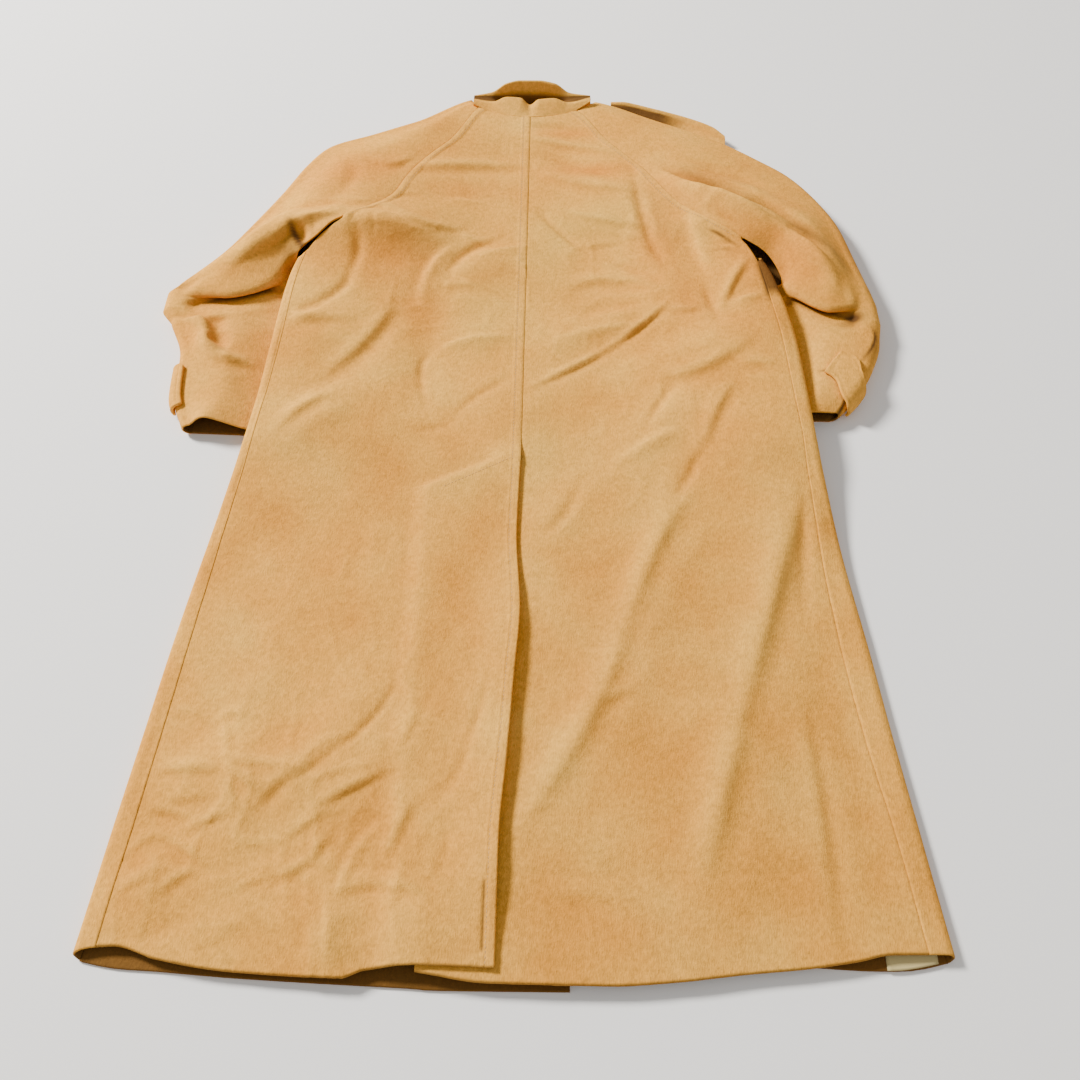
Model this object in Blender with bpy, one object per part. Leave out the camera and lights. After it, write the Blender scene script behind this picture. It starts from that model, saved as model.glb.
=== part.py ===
"""Long raglan overcoat in camel wool, laid flat on its front with the back up.

The coat is drawn in centimetres: across (x) from the centre-back seam, up (y) from
the hem to the neck, and high (z) above the floor.  Each cut piece is a wall of cloth
whose outer face comes from a few sections, and each section is one row of a table.
The meshes are in metres, with their origin under the middle of the front.
"""

import bmesh
import bpy
import numpy as np

# Driving sizes, cm
CM = 0.01  # metres in a centimetre
BACK_LENGTH = 113.8  # hem to neck seam on the centre back
REST_UP = 58.0  # the origin lies this far up from the hem
CLOTH = 0.30  # brushed wool with its lining
SEAM_GAP = 0.03  # between two pieces at a seam
LAYER_GAP = 0.15  # between two panels that lie on each other
ROW_STEP = 3.3  # longest step between two rings of a body panel
UNDERARM_LEFT = 89.8  # where the left side seam meets the raglan seam
UNDERARM_RIGHT = 88.6
WRAP_END = 84.0  # from here up to the underarm each front draws back to the floor
VENT_TOP = 53.0
VENT_SLANT = 4.0  # the vent's stitched top falls this far over the underlap
LAP_ROW = VENT_TOP + 3.2  # the left panel starts to rise off the right one here
UNDERLAP = 8.0
UNDERLAP_STEP = 2.4  # width of the slope of the left panel off the underlap
UNDERLAP_EASE = 2.0  # and how far past the underlap's edge that slope starts
FRONT_OVERLAP = 5.6  # each front passes the centre by this much
FRONT_STEP = 2.8  # the slope of the upper front off the lower one
NECK_HALF = 8.0  # half width of the back neck
NECK_RISE = 2.05  # how much higher its ends are than its middle
NECK_CURVE_START = 108.0  # rings below this are straight across
FRONT_TAIL = 1.8  # length of a front's outer columns where they lie on the floor
FRONT_NECK_DROP = 5.0  # the front neck is cut this much lower than the shoulder
FRONT_SPREAD = 12.0  # above the underarm its columns even out over this much
FRONT_DROP_START = 92.0  # the front neck starts to curve down here
FRONT_NECK_TOP = 107.5  # the fronts end here, at the neck
HEM_BLEND = 12.0  # the hem's own curve dies out this far up
FLAT_SHARE = 0.25  # the middle part of each back panel that lies level
EDGE_ROUND = 0.9  # half width of the turned side edge
SLEEVE_ROUND = 0.55  # width of a sleeve's outer round, for each unit of its height
BODY_COLUMNS = 13
COLLAR_CLOTH = 0.45  # two layers and their interfacing
STRAP_CLOTH = 0.40
LINING_CLOTH = 0.10

CAMEL = (0.640, 0.376, 0.158)
CAMEL_SHADE = (0.560, 0.320, 0.130)
LINING_CREAM = (0.650, 0.540, 0.360)


def table(columns, *rows):
    """Turn rows of numbers into columns that have names."""
    names = columns.split()
    return {name: np.array([row[i] for row in rows], float) for i, name in enumerate(names)}


# The body, a row for each section: where its side edges and side seams lie, how high
# the back lies at the centre and at the seams, and how far each side is held off the
# floor by the forearm tucked under it.
BODY = table(
    "up  edge_left edge_right seam_left seam_right  mid_high seam_high_left seam_high_right"
    "  lift_left lift_right",
    (0, -38.5, 39.7, -36.4, 37.3, 1.35, 1.15, 1.15, 0, 0),
    (10, -37.6, 38.7, -35.5, 36.2, 1.40, 1.10, 1.10, 0, 0),
    (20, -36.7, 37.7, -34.7, 34.8, 1.40, 1.10, 1.10, 0, 0),
    (30, -35.8, 36.8, -33.9, 33.8, 1.40, 1.10, 1.15, 0, 0),
    (40, -34.6, 35.7, -33.0, 33.2, 1.40, 1.30, 1.35, 0.15, 0.15),
    (51, -32.9, 34.7, -31.6, 32.8, 1.45, 2.50, 2.60, 1.2, 1.3),
    (56, -32.2, 34.3, -31.0, 32.6, 1.45, 3.10, 3.40, 1.8, 2.1),
    (62, -31.7, 34.1, -30.5, 32.3, 1.50, 3.20, 3.55, 1.9, 2.3),
    (70, -31.4, 33.8, -30.1, 31.9, 1.50, 3.20, 3.55, 1.9, 2.3),
    (77, -31.1, 33.0, -29.8, 31.2, 1.60, 3.30, 3.55, 2.0, 2.3),
    (81, -30.7, 32.2, -29.5, 30.7, 1.65, 3.45, 3.60, 2.1, 2.3),
    (84, -30.1, 31.5, -29.0, 30.2, 1.70, 3.70, 3.50, 1.3, 1.3),
    (86.5, -28.9, 30.7, -27.7, 29.4, 1.75, 4.30, 3.40, 0, 0),
    (90, -25.3, 28.8, -24.0, 27.6, 1.80, 5.20, 3.50, 0, 0),
    (93, -23.9, 26.6, -22.4, 25.2, 1.90, 5.00, 3.60, 0, 0),
    (114, -23.9, 26.6, -22.4, 25.2, 3.30, 5.00, 3.60, 0, 0),
)
TUCK_START = {"left": -22.5, "right": 21.5}  # each side begins to rise from here

# How far the hems run past the hem line, for each place across
HEM_LEFT = table(
    "across back front",
    (-38.5, -0.9, -1.3),
    (-36.6, -0.5, -1.9),
    (-34.8, -0.4, -2.1),
    (-31.0, -1.4, -2.3),
    (-25.0, -2.3, -2.7),
    (-18.0, -2.7, -3.0),
    (-14.5, -2.8, -3.3),
    (-12.4, -2.1, -3.3),
    (-8.0, -1.7, -3.4),
    (0.0, -1.9, -3.9),
    (5.6, -2.4, -3.5),
)
HEM_RIGHT = table(
    "across back front",
    (-8.0, -2.2, -2.0),
    (-1.5, -3.0, -2.4),
    (9.0, -3.1, -2.4),
    (15.0, -2.7, -2.1),
    (21.0, -2.0, -1.6),
    (27.0, -1.4, -1.2),
    (31.0, -0.8, -1.4),
    (34.0, -0.2, -1.5),
    (39.7, -0.1, -0.6),
)
VENT_EDGE = table("up across", (0, -1.0), (9, -1.0), (17, -0.5), (26, 0.0), (33, 0.4), (43, -0.2), (53, 0.0))

# Each sleeve, a row for each section across it.  The inner end is on the raglan seam
# as far as the underarm, and "at" is then its place up the seam.  Further down "at"
# only counts on.  brow, crest and out are the points where the section turns over, is
# highest and starts round its outer edge.  floor is the inner end of the front panel.
SLEEVE_LEFT = table(
    "at  in_x in_y in_z  brow_x brow_y brow_z  crest_x crest_y crest_z  out_x out_y out_z  floor_x floor_y",
    (113.8, -7.7, 113.8, 3.3, -8.0, 114.5, 3.3, -8.3, 115.2, 3.2, -8.6, 115.9, 2.8, -8.8, 112.5),
    (109.0, -11.1, 109.0, 3.1, -12.0, 110.2, 3.2, -13.4, 112.0, 3.4, -15.0, 113.4, 2.8, -12.0, 108.0),
    (104.3, -14.9, 104.3, 3.2, -16.2, 105.7, 3.4, -18.4, 107.6, 3.6, -22.0, 110.0, 2.8, -15.2, 103.5),
    (100.4, -17.1, 100.4, 3.3, -19.2, 102.3, 3.6, -22.6, 104.6, 3.8, -27.8, 107.2, 2.8, -17.6, 99.8),
    (97.0, -18.4, 97.0, 3.6, -20.8, 99.2, 3.8, -25.0, 101.6, 4.0, -30.4, 103.4, 2.8, -19.6, 96.6),
    (93.2, -21.2, 93.2, 4.3, -23.4, 94.9, 4.4, -27.8, 96.6, 4.4, -32.8, 97.6, 2.9, -22.4, 92.8),
    (89.8, -24.2, 89.8, 5.2, -26.2, 91.1, 5.2, -30.2, 92.2, 4.8, -35.4, 92.2, 3.0, -26.4, 89.4),
    (87.0, -26.2, 88.9, 5.3, -28.6, 89.6, 5.5, -33.4, 88.9, 5.3, -39.0, 86.0, 3.1, -28.8, 87.9),
    (84.0, -28.2, 87.3, 4.3, -30.4, 87.6, 4.8, -35.4, 86.0, 5.0, -42.2, 81.8, 3.1, -31.4, 85.4),
    (81.0, -30.8, 85.0, 2.9, -32.2, 84.6, 3.4, -36.9, 82.2, 4.0, -43.9, 79.6, 3.0, -31.0, 82.4),
    (78.0, -30.6, 82.4, 1.3, -33.0, 79.5, 2.4, -38.6, 77.2, 2.8, -44.9, 77.2, 2.7, -29.2, 80.2),
    (74.0, -27.9, 76.5, 0.7, -31.8, 76.0, 1.1, -37.6, 74.0, 2.3, -43.4, 73.2, 2.2, -27.6, 75.6),
    (68.0, -27.6, 69.5, 0.7, -31.6, 69.3, 1.1, -37.0, 69.0, 2.5, -41.7, 68.6, 2.1, -27.4, 69.5),
    (62.0, -27.7, 62.5, 0.7, -31.6, 62.5, 1.1, -36.8, 62.4, 2.4, -41.2, 62.0, 2.0, -27.5, 62.5),
    (57.0, -28.2, 57.4, 0.7, -31.8, 57.3, 1.0, -37.4, 57.7, 3.0, -39.5, 57.4, 1.8, -28.0, 57.0),
)
SLEEVE_RIGHT = table(
    "at  in_x in_y in_z  brow_x brow_y brow_z  crest_x crest_y crest_z  out_x out_y out_z  floor_x floor_y",
    (113.8, 6.8, 113.8, 3.3, 7.6, 114.3, 3.3, 8.4, 115.0, 3.2, 9.2, 115.8, 2.8, 8.4, 112.5),
    (109.3, 10.6, 109.3, 3.2, 12.0, 110.8, 3.3, 14.0, 112.6, 3.3, 17.0, 114.0, 2.7, 11.6, 108.4),
    (106.3, 13.1, 106.3, 3.3, 15.0, 108.0, 3.5, 18.0, 110.0, 3.5, 22.4, 111.6, 2.7, 14.0, 105.6),
    (103.2, 15.5, 103.2, 3.5, 18.0, 104.8, 3.8, 21.8, 107.0, 3.7, 27.2, 108.8, 2.7, 16.6, 102.6),
    (100.0, 17.3, 100.0, 3.8, 20.6, 101.2, 4.2, 25.4, 103.6, 3.8, 31.4, 105.4, 2.8, 18.6, 99.6),
    (96.0, 19.9, 96.0, 4.0, 23.4, 96.8, 4.7, 28.8, 99.2, 4.0, 35.4, 101.6, 2.9, 21.4, 95.6),
    (92.0, 24.0, 92.0, 4.0, 27.2, 93.2, 5.0, 32.2, 95.6, 4.3, 38.6, 96.6, 3.0, 26.4, 91.6),
    (88.6, 28.4, 88.6, 3.5, 30.8, 89.6, 4.7, 35.6, 91.0, 4.6, 40.6, 91.6, 3.1, 30.2, 88.0),
    (85.0, 32.0, 86.2, 2.4, 33.4, 86.8, 4.0, 37.8, 86.6, 4.7, 41.6, 86.4, 3.2, 32.9, 85.4),
    (82.0, 33.6, 83.0, 1.3, 34.4, 83.0, 3.4, 38.8, 82.4, 4.5, 42.6, 81.6, 3.2, 33.6, 82.4),
    (78.0, 32.6, 80.2, 1.1, 34.6, 78.4, 2.5, 38.8, 75.7, 2.8, 43.6, 76.0, 2.8, 31.0, 79.2),
    (74.0, 28.4, 74.8, 0.7, 33.8, 74.4, 1.2, 38.8, 72.4, 2.4, 43.2, 71.6, 2.5, 27.6, 74.6),
    (69.0, 27.6, 69.6, 0.7, 33.2, 69.4, 1.3, 37.8, 68.6, 2.5, 41.8, 67.6, 2.4, 27.0, 69.6),
    (64.0, 27.0, 64.8, 0.7, 32.6, 64.6, 1.3, 36.4, 64.2, 2.5, 39.4, 63.4, 2.3, 26.6, 64.8),
    (59.4, 26.8, 60.4, 0.7, 31.6, 60.2, 1.2, 34.6, 60.0, 2.3, 37.0, 60.2, 1.9, 26.6, 60.4),
)
SLEEVES = {"left": SLEEVE_LEFT, "right": SLEEVE_RIGHT}

# The pleat at each elbow: the upper arm hangs over the forearm.  It replaces the
# section at PLEAT_AT by these rings, each moved along the arm and in height.
PLEAT_AT = 78.0
PLEAT_START = 0.3  # across the sleeve, the pleat deepens from here over PLEAT_GROW
PLEAT_GROW = 1.2
PLEAT_DIES = 1.8  # and dies out from here to the outer edge
PLEAT_PART = 0.3  # the layers stand fully apart from this share of the depth
PLEAT = table(
    "ring forward rise even",
    (0, -1.05, 0.62, -1.60),
    (1, -0.4, 0.42, -1.15),
    (2, 0.0, 0.00, -0.70),
    (3, -0.4, -0.40, -0.25),
    (4, -1.3, -0.46, 0.20),
    (5, -1.65, -0.70, 0.65),
    (6, -1.3, -0.98, 1.10),
    (7, 0.4, -0.80, 1.55),
)

# Broad folds, each a soft ridge (or a trough where high is below zero) between two points
FOLDS = table(
    "x0 y0  x1 y1  wide high",
    (-24.0, 90.2, -9.0, 88.5, 2.6, 0.9),
    (-21.0, 94.0, -9.5, 98.0, 3.0, -0.5),
    (-10.0, 83.0, -0.8, 87.0, 2.6, 0.5),
    (-12.0, 80.5, -12.5, 61.0, 2.6, -0.35),
    (-9.0, 71.5, -0.5, 72.5, 2.4, 0.45),
    (-17.0, 74.0, -26.0, 62.0, 3.0, -0.45),
    (-21.0, 62.0, -28.0, 54.5, 2.6, 0.50),
    (-2.5, 46.0, -8.0, 26.0, 3.2, -0.20),
    (-33.0, 15.5, -28.0, 15.4, 2.4, 0.40),
    (-27.0, 22.0, -26.0, 9.5, 2.6, 0.50),
    (-26.0, 16.0, -19.0, 15.5, 2.4, 0.45),
    (-13.0, 25.0, -24.0, 12.0, 2.8, 0.45),
    (-10.0, 20.5, -20.0, 10.5, 2.4, 0.40),
    (-16.0, 4.0, -16.0, -2.0, 2.0, 0.45),
    (-6.5, -1.5, -9.5, 4.0, 2.4, 0.45),
    (-34.5, 3.0, -31.0, 7.5, 2.6, 0.45),
    (1.5, 103.0, 12.5, 97.5, 2.8, 0.6),
    (5.0, 94.5, 13.0, 91.5, 2.6, 0.5),
    (16.5, 104.0, 24.0, 78.0, 3.0, -0.7),
    (17.0, 101.0, 25.0, 96.2, 2.2, 0.9),
    (25.0, 96.2, 35.0, 89.0, 2.4, 1.1),
    (35.0, 89.0, 43.0, 77.5, 2.4, 0.9),
    (1.5, 70.0, 18.0, 79.0, 2.8, 0.55),
    (14.0, 67.0, 29.0, 72.0, 2.8, 0.45),
    (12.0, 52.5, 23.0, 66.0, 3.4, 0.40),
    (8.0, 50.5, 1.5, 41.0, 2.8, 0.35),
    (17.5, 46.0, 11.5, 28.0, 3.0, 0.50),
    (11.5, 28.0, 0.8, 8.0, 3.0, 0.45),
    (30.0, 47.5, 25.0, 30.0, 3.2, 0.50),
    (25.0, 30.0, 18.0, 3.5, 3.2, 0.50),
    (32.0, 29.5, 34.5, 3.0, 2.4, -0.30),
)

# The collar behind the neck and its end behind the right shoulder, a row for each
# section: seam, roll, valley and edge are the points from the neck seam outwards.
COLLAR = table(
    "across seam_up seam_high roll_up roll_high valley_up valley_high edge_up edge_high",
    (-7.6, 115.72, 3.3, 116.7, 3.4, 117.5, 3.3, 118.2, 3.4),
    (-5.8, 114.93, 3.3, 116.3, 3.8, 117.4, 3.2, 118.4, 4.2),
    (-3.5, 114.25, 3.3, 116.8, 4.2, 118.0, 2.2, 118.9, 5.2),
    (-1.5, 113.92, 3.3, 116.5, 4.1, 118.2, 1.9, 119.3, 5.4),
    (0.6, 113.86, 3.3, 116.2, 4.0, 118.2, 1.8, 119.3, 5.4),
    (3.5, 114.25, 3.3, 116.5, 4.1, 118.0, 2.0, 118.9, 5.2),
    (5.8, 114.93, 3.3, 116.3, 3.8, 117.4, 3.2, 118.4, 4.2),
    (7.9, 116.6, 3.2, 117.3, 3.3, 117.9, 3.3, 118.4, 3.3),
)
COLLAR_END = table(
    "across seam_up seam_high roll_up roll_high valley_up valley_high edge_up edge_high",
    (12.0, 117.92, 0.5, 118.8, 0.9, 119.3, 1.4, 119.7, 1.8),
    (14.5, 116.82, 0.5, 117.8, 0.9, 118.5, 1.6, 119.0, 2.2),
    (18.5, 114.72, 0.5, 116.0, 0.9, 116.9, 1.6, 117.5, 2.2),
    (23.0, 112.41, 0.5, 113.9, 0.9, 115.0, 1.5, 115.8, 2.1),
    (26.8, 110.41, 0.5, 111.9, 0.9, 113.0, 1.4, 113.9, 1.9),
    (28.6, 110.2, 0.5, 111.1, 0.8, 111.8, 1.2, 112.4, 1.5),
)

FRONT_COLUMNS = np.array([0.3, 0.56, 0.76, 0.9])  # of the way across a front's flat part
COLLAR_MARKS = ("seam", "roll", "valley", "edge")

# The tabs round the cuffs, a row for each section along them: where the lower and the
# upper edge lie on the sleeve, and how far the tab stands off it.
STRAP_LEFT = table(
    "row low_at low_across high_at high_across stand",
    (0, 60.2, 2.80, 66.6, 2.86, 0.05),
    (1, 60.0, 3.10, 66.8, 3.10, 0.20),
    (2, 60.0, 3.35, 66.8, 3.35, 0.45),
    (3, 60.0, 3.62, 66.6, 3.62, 0.25),
)
STRAP_RIGHT = table(
    "row low_at low_across high_at high_across stand",
    (0, 65.7, 1.90, 70.2, 2.25, 0.05),
    (1, 64.6, 2.35, 69.9, 2.52, 0.07),
    (2, 63.0, 2.68, 68.9, 2.80, 0.10),
    (3, 61.7, 3.05, 66.9, 3.05, 0.18),
    (4, 60.8, 3.30, 65.4, 3.30, 0.18),
    (5, 60.6, 3.60, 64.6, 3.60, 0.16),
)
LINING_ABOVE_HEM = 0.12
LINING_ROWS = (0.0, 2.5, 5.0)
LINING_SPAN = {"left": (-29.0, -17.0), "right": (33.6, 38.2)}


def along(sections, name, at):
    """Read a column at any place between its rows, on a smooth curve that never overshoots."""
    place = next(iter(sections.values()))
    value = sections[name]
    if place[0] > place[-1]:
        place, value = place[::-1], value[::-1]
    step = np.diff(place)
    slope = np.diff(value) / step
    turn = np.concatenate([slope[:1], np.zeros(len(slope) - 1), slope[-1:]])
    rising = slope[:-1] * slope[1:] > 0
    safe = np.where(rising, slope[:-1] + slope[1:], 1.0)
    turn[1:-1] = np.where(rising, 2 * slope[:-1] * slope[1:] / safe, 0.0)
    at = np.clip(np.asarray(at, float), place[0], place[-1])
    i = np.clip(np.searchsorted(place, at, side="right") - 1, 0, len(place) - 2)
    t = (at - place[i]) / step[i]
    start = value[i] * (1 + 2 * t) * (1 - t) ** 2 + turn[i] * step[i] * t * (1 - t) ** 2
    end = value[i + 1] * t * t * (3 - 2 * t) + turn[i + 1] * step[i] * t * t * (t - 1)
    return start + end


def ease(share):
    """Go from 0 to 1 with a soft start and end."""
    share = np.clip(share, 0.0, 1.0)
    return share * share * (3 - 2 * share)


def mix(low, high, share):
    """Go straight from one value to another."""
    return low + (high - low) * share


def steps(stops, longest):
    """Places from stop to stop, with no step longer than asked."""
    places = [stops[0]]
    for low, high in zip(stops, stops[1:]):
        count = int(np.ceil(abs(high - low) / longest - 1e-6))
        places += [low + (high - low) * (i + 1) / count for i in range(count)]
    return np.array(places)


def fold_height(x, y):
    """Height that the broad folds add at a place on the upper side."""
    total = np.zeros(np.broadcast(x, y).shape)
    for x0, y0, x1, y1, wide, high in zip(*FOLDS.values()):
        length = (x1 - x0) ** 2 + (y1 - y0) ** 2
        t = np.clip(((x - x0) * (x1 - x0) + (y - y0) * (y1 - y0)) / length, 0, 1)
        off = np.hypot(x - mix(x0, x1, t), y - mix(y0, y1, t))
        total = total + high * (0.35 + 0.65 * np.sin(np.pi * t)) * np.exp(-((off / wide) ** 2))
    return total


def neck_rise(x, up):
    """The back neck seam is a shallow curve, higher at the shoulders."""
    bow = NECK_RISE * np.minimum(np.abs(x) / NECK_HALF, 1.0) ** 2
    return bow * ease((up - NECK_CURVE_START) / (BACK_LENGTH - NECK_CURVE_START))


def seam_point(side, up):
    """Place across and height of a back panel's outer seam: side seam, then raglan."""
    underarm = UNDERARM_LEFT if side == "left" else UNDERARM_RIGHT
    sleeve = SLEEVES[side]
    below = up < underarm
    x = np.where(below, along(BODY, "seam_" + side, up), along(sleeve, "in_x", up))
    z = np.where(below, along(BODY, "seam_high_" + side, up), along(sleeve, "in_z", up))
    return x, z


def hem_shift(side, x, up, layer):
    """How far a ring near the hem is pulled to the hem's own curve; layer 0 is the front."""
    hem = HEM_LEFT if side == "left" else HEM_RIGHT
    shift = mix(along(hem, "front", x), along(hem, "back", x), layer)
    return shift * ease(1 - up / HEM_BLEND)


def back_point(side, up, share):
    """A point of a back panel's outer face; share runs from the centre to the outer seam."""
    x_out, z_out = seam_point(side, up)
    sign = -1 if side == "left" else 1
    x_out = x_out - sign * SEAM_GAP / 2
    below_vent = ease((VENT_TOP - up) / 0.2)
    reach = UNDERLAP * np.clip((VENT_TOP - up) / VENT_SLANT, 0, 1)
    centre = sign * SEAM_GAP / 2
    if side == "left":
        x_in = mix(centre, along(VENT_EDGE, "across", up), below_vent)
    else:
        x_in = centre - reach
    x = mix(x_in, x_out, share)
    y = up + hem_shift(side, x, up, 1.0) + neck_rise(x, up)
    z = mix(along(BODY, "mid_high", up), z_out, ease((np.abs(x / x_out) - FLAT_SHARE) / (1 - FLAT_SHARE)))
    z = z + fold_height(x, y)
    if side == "left":
        over_lap = ease((x + reach + UNDERLAP_EASE + UNDERLAP_STEP) / UNDERLAP_STEP)
        below_top = ease((LAP_ROW - up) / (LAP_ROW - VENT_TOP))
        z = z + (CLOTH + LAYER_GAP) * over_lap * below_top
    return np.stack([x, y, z], -1)


def unit(vectors):
    """Vectors of length one."""
    return vectors / np.linalg.norm(vectors, axis=-1, keepdims=True)


def outward(grid):
    """Normals of a grid of points, to the left of its rows and towards the outer face."""
    across = np.gradient(grid, axis=1)
    down = np.gradient(grid, axis=0)
    return unit(np.cross(across, down))


def upright(normals):
    """Normals for the edge of a piece at a flat seam, so that both walls end upright."""
    lean = np.maximum(np.abs(normals[..., 2:]), 0.6)
    return np.concatenate([np.zeros_like(normals[..., :2]), np.sign(normals[..., 2:]) / lean], -1)


def wall(name, outer, inward, thickness, colour, keep=None):
    """A closed wall of cloth between an outer grid of points and the same grid moved inward."""
    rows, cols, _ = outer.shape
    inner = outer + inward * thickness
    points = np.concatenate([outer.reshape(-1, 3), inner.reshape(-1, 3)])
    points = (points - np.array([0.0, REST_UP, 0.0])) * CM
    keep = np.ones((rows - 1, cols - 1), bool) if keep is None else keep
    back = rows * cols
    faces, edges = [], {}
    for r in range(rows - 1):
        for c in range(cols - 1):
            if keep[r, c]:
                a, b = r * cols + c, r * cols + c + 1
                quad = (a, b, b + cols, a + cols)
                faces.append(quad)
                faces.append(tuple(back + i for i in reversed(quad)))
                for i, j in zip(quad, quad[1:] + quad[:1]):
                    edges[(i, j)] = True
    for i, j in edges:
        if (j, i) not in edges:
            faces.append((j, i, back + i, back + j))
    mesh = bpy.data.meshes.new(name)
    mesh.from_pydata(points.tolist(), [], faces)
    mesh.validate()
    used = bpy.data.objects.new(name, mesh)
    bpy.context.collection.objects.link(used)
    remove_loose(mesh)
    mesh.materials.append(wool(name + " cloth", colour))
    mesh.shade_smooth()
    return used


def remove_loose(mesh):
    """Drop the points that no face uses."""
    work = bmesh.new()
    work.from_mesh(mesh)
    bmesh.ops.delete(work, geom=[v for v in work.verts if not v.link_faces], context="VERTS")
    bmesh.ops.recalc_face_normals(work, faces=work.faces)
    work.to_mesh(mesh)
    work.free()


def wool(name, colour):
    """A rough cloth of one colour."""
    material = bpy.data.materials.new(name)
    material.use_nodes = True
    shader = material.node_tree.nodes["Principled BSDF"]
    shader.inputs["Base Color"].default_value = (*colour, 1.0)
    shader.inputs["Roughness"].default_value = 0.9
    shader.inputs["Metallic"].default_value = 0.0
    return material


def body_rows():
    """Places of the rings that back and front panels share, closer where the vent ends."""
    return steps([0, VENT_TOP - VENT_SLANT, VENT_TOP, LAP_ROW, WRAP_END, UNDERARM_RIGHT], ROW_STEP)


def back_panel(side):
    """A back panel, from the centre back to the side seam and then the raglan seam."""
    raglan_ups = raglan_rows(side)
    low = body_rows()
    ups = np.concatenate([low[low < raglan_ups[0] - 0.5], raglan_ups])
    shares = np.linspace(0, 1, BODY_COLUMNS)
    if side == "left":
        shares = np.concatenate([[0, 0.075, 0.15, 0.225], np.linspace(0.3, 1, BODY_COLUMNS - 4)])
    grid = back_point(side, ups[:, None], shares[None, :])
    if side == "left":
        grid = grid[:, ::-1]
    normals = outward(grid)
    edge = upright(normals)
    normals[:, 0] = edge[:, 0]
    normals[:, -1] = edge[:, -1]
    normals[-1] = edge[-1]
    return wall("back_" + side, grid, -normals, CLOTH, CAMEL)


def raglan_rows(side):
    """Places of the sections that a sleeve shares with the raglan seams."""
    underarm = UNDERARM_LEFT if side == "left" else UNDERARM_RIGHT
    return steps([underarm, 100.4, BACK_LENGTH], 2.9)


def lift_height(side, x, up):
    """How high the underside of the body is held by the forearm under it."""
    start = TUCK_START[side]
    edge = along(BODY, "edge_" + side, up)
    share = np.clip((x - start) / (edge - start), 0, 1)
    return along(BODY, "lift_" + side, up) * ease(share)


def wrapped_ring(side, up):
    """A ring of a front panel: flat, then round the side edge and up to the side seam.

    From WRAP_END to the underarm it is cut off ever sooner, and so draws back to the floor.
    """
    sign = -1 if side == "left" else 1
    underarm = raglan_rows(side)[0]
    drawn = np.clip((up - WRAP_END) / (underarm - WRAP_END), 0, 1)
    edge = float(along(BODY, "edge_" + side, up))
    seam, high = (float(v) for v in seam_point(side, np.array(min(up, underarm - 0.01))))
    seam += sign * SEAM_GAP / 2
    half = min(EDGE_ROUND, 0.7 * abs(edge - seam))
    floor_end = float(along(SLEEVES[side], "floor_x", underarm)) - sign * (SEAM_GAP / 2 + FRONT_TAIL)
    centre = mix(edge - sign * half, floor_end, drawn)
    tail = FRONT_TAIL * drawn
    low = float(lift_height(side, centre, up))
    turn = np.radians(np.linspace(-90, 90, 25))
    rise = (high - 0.02 - low) / 2
    path_x = np.concatenate([[centre], centre + sign * (tail + half * np.cos(turn)), [seam + sign * tail]])
    path_z = np.concatenate([[low], low + rise * (1 + np.sin(turn)), [high]])
    run = np.append(0, np.cumsum(np.hypot(np.diff(path_x), np.diff(path_z))))
    top, end = run[-2] - tail, run[-1] - tail
    stations = np.append(np.linspace(0, top, 7)[1:], [(top + end) / 2, end])
    reach = stations * (1 - drawn) + tail * np.linspace(0, 1, 9)[1:]
    flat_x = np.concatenate([front_edge_columns(side), [0, 0, 0, 0, centre]])
    flat_x[3:7] = mix(flat_x[2], centre, FRONT_COLUMNS)
    x = np.concatenate([flat_x, np.interp(reach, run, path_x)])
    z = np.concatenate([lift_height(side, flat_x, up), np.interp(reach, run, path_z)])
    layer = np.concatenate([np.zeros(8), np.clip((z[8:] - low) / (2 * rise), 0, 1)])
    y = up + hem_shift(side, x, up, layer)
    z[-2:] += fold_height(x[-2:], y[-2:]) * (1 - drawn)
    return np.stack([x, y, z], -1)


def front_edge_columns(side):
    """Columns of a front panel at its free edge, closer where one front lies on the other."""
    sign = -1 if side == "left" else 1
    return np.array([-sign * FRONT_OVERLAP, sign * 5.9, sign * 8.6])


def raglan_ring(side, up):
    """A ring of a front panel between the front edge and its raglan seam, on the floor."""
    sign = -1 if side == "left" else 1
    underarm = raglan_rows(side)[0]
    x_out = float(along(SLEEVES[side], "floor_x", up)) - sign * SEAM_GAP / 2
    y_out = float(along(SLEEVES[side], "floor_y", up))
    x = front_edge_columns(side)
    tail_start = x_out - sign * FRONT_TAIL
    tail = mix(tail_start, x_out, np.linspace(0, 1, 9))
    close = np.concatenate([mix(x[2], tail_start, FRONT_COLUMNS), tail])
    spread = mix(x[2], x_out, np.linspace(0, 1, 14)[1:])
    x = np.concatenate([x, mix(close, spread, ease((up - underarm) / FRONT_SPREAD))])
    near_neck = ease((up - FRONT_DROP_START) / (FRONT_NECK_TOP - FRONT_DROP_START))
    drop = FRONT_NECK_DROP * (1 - ease(np.abs(x) / abs(x_out))) * near_neck
    y = up + (y_out - up) * ease(np.abs(x / x_out)) - drop
    return np.stack([x, y, np.zeros_like(x)], -1)


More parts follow.
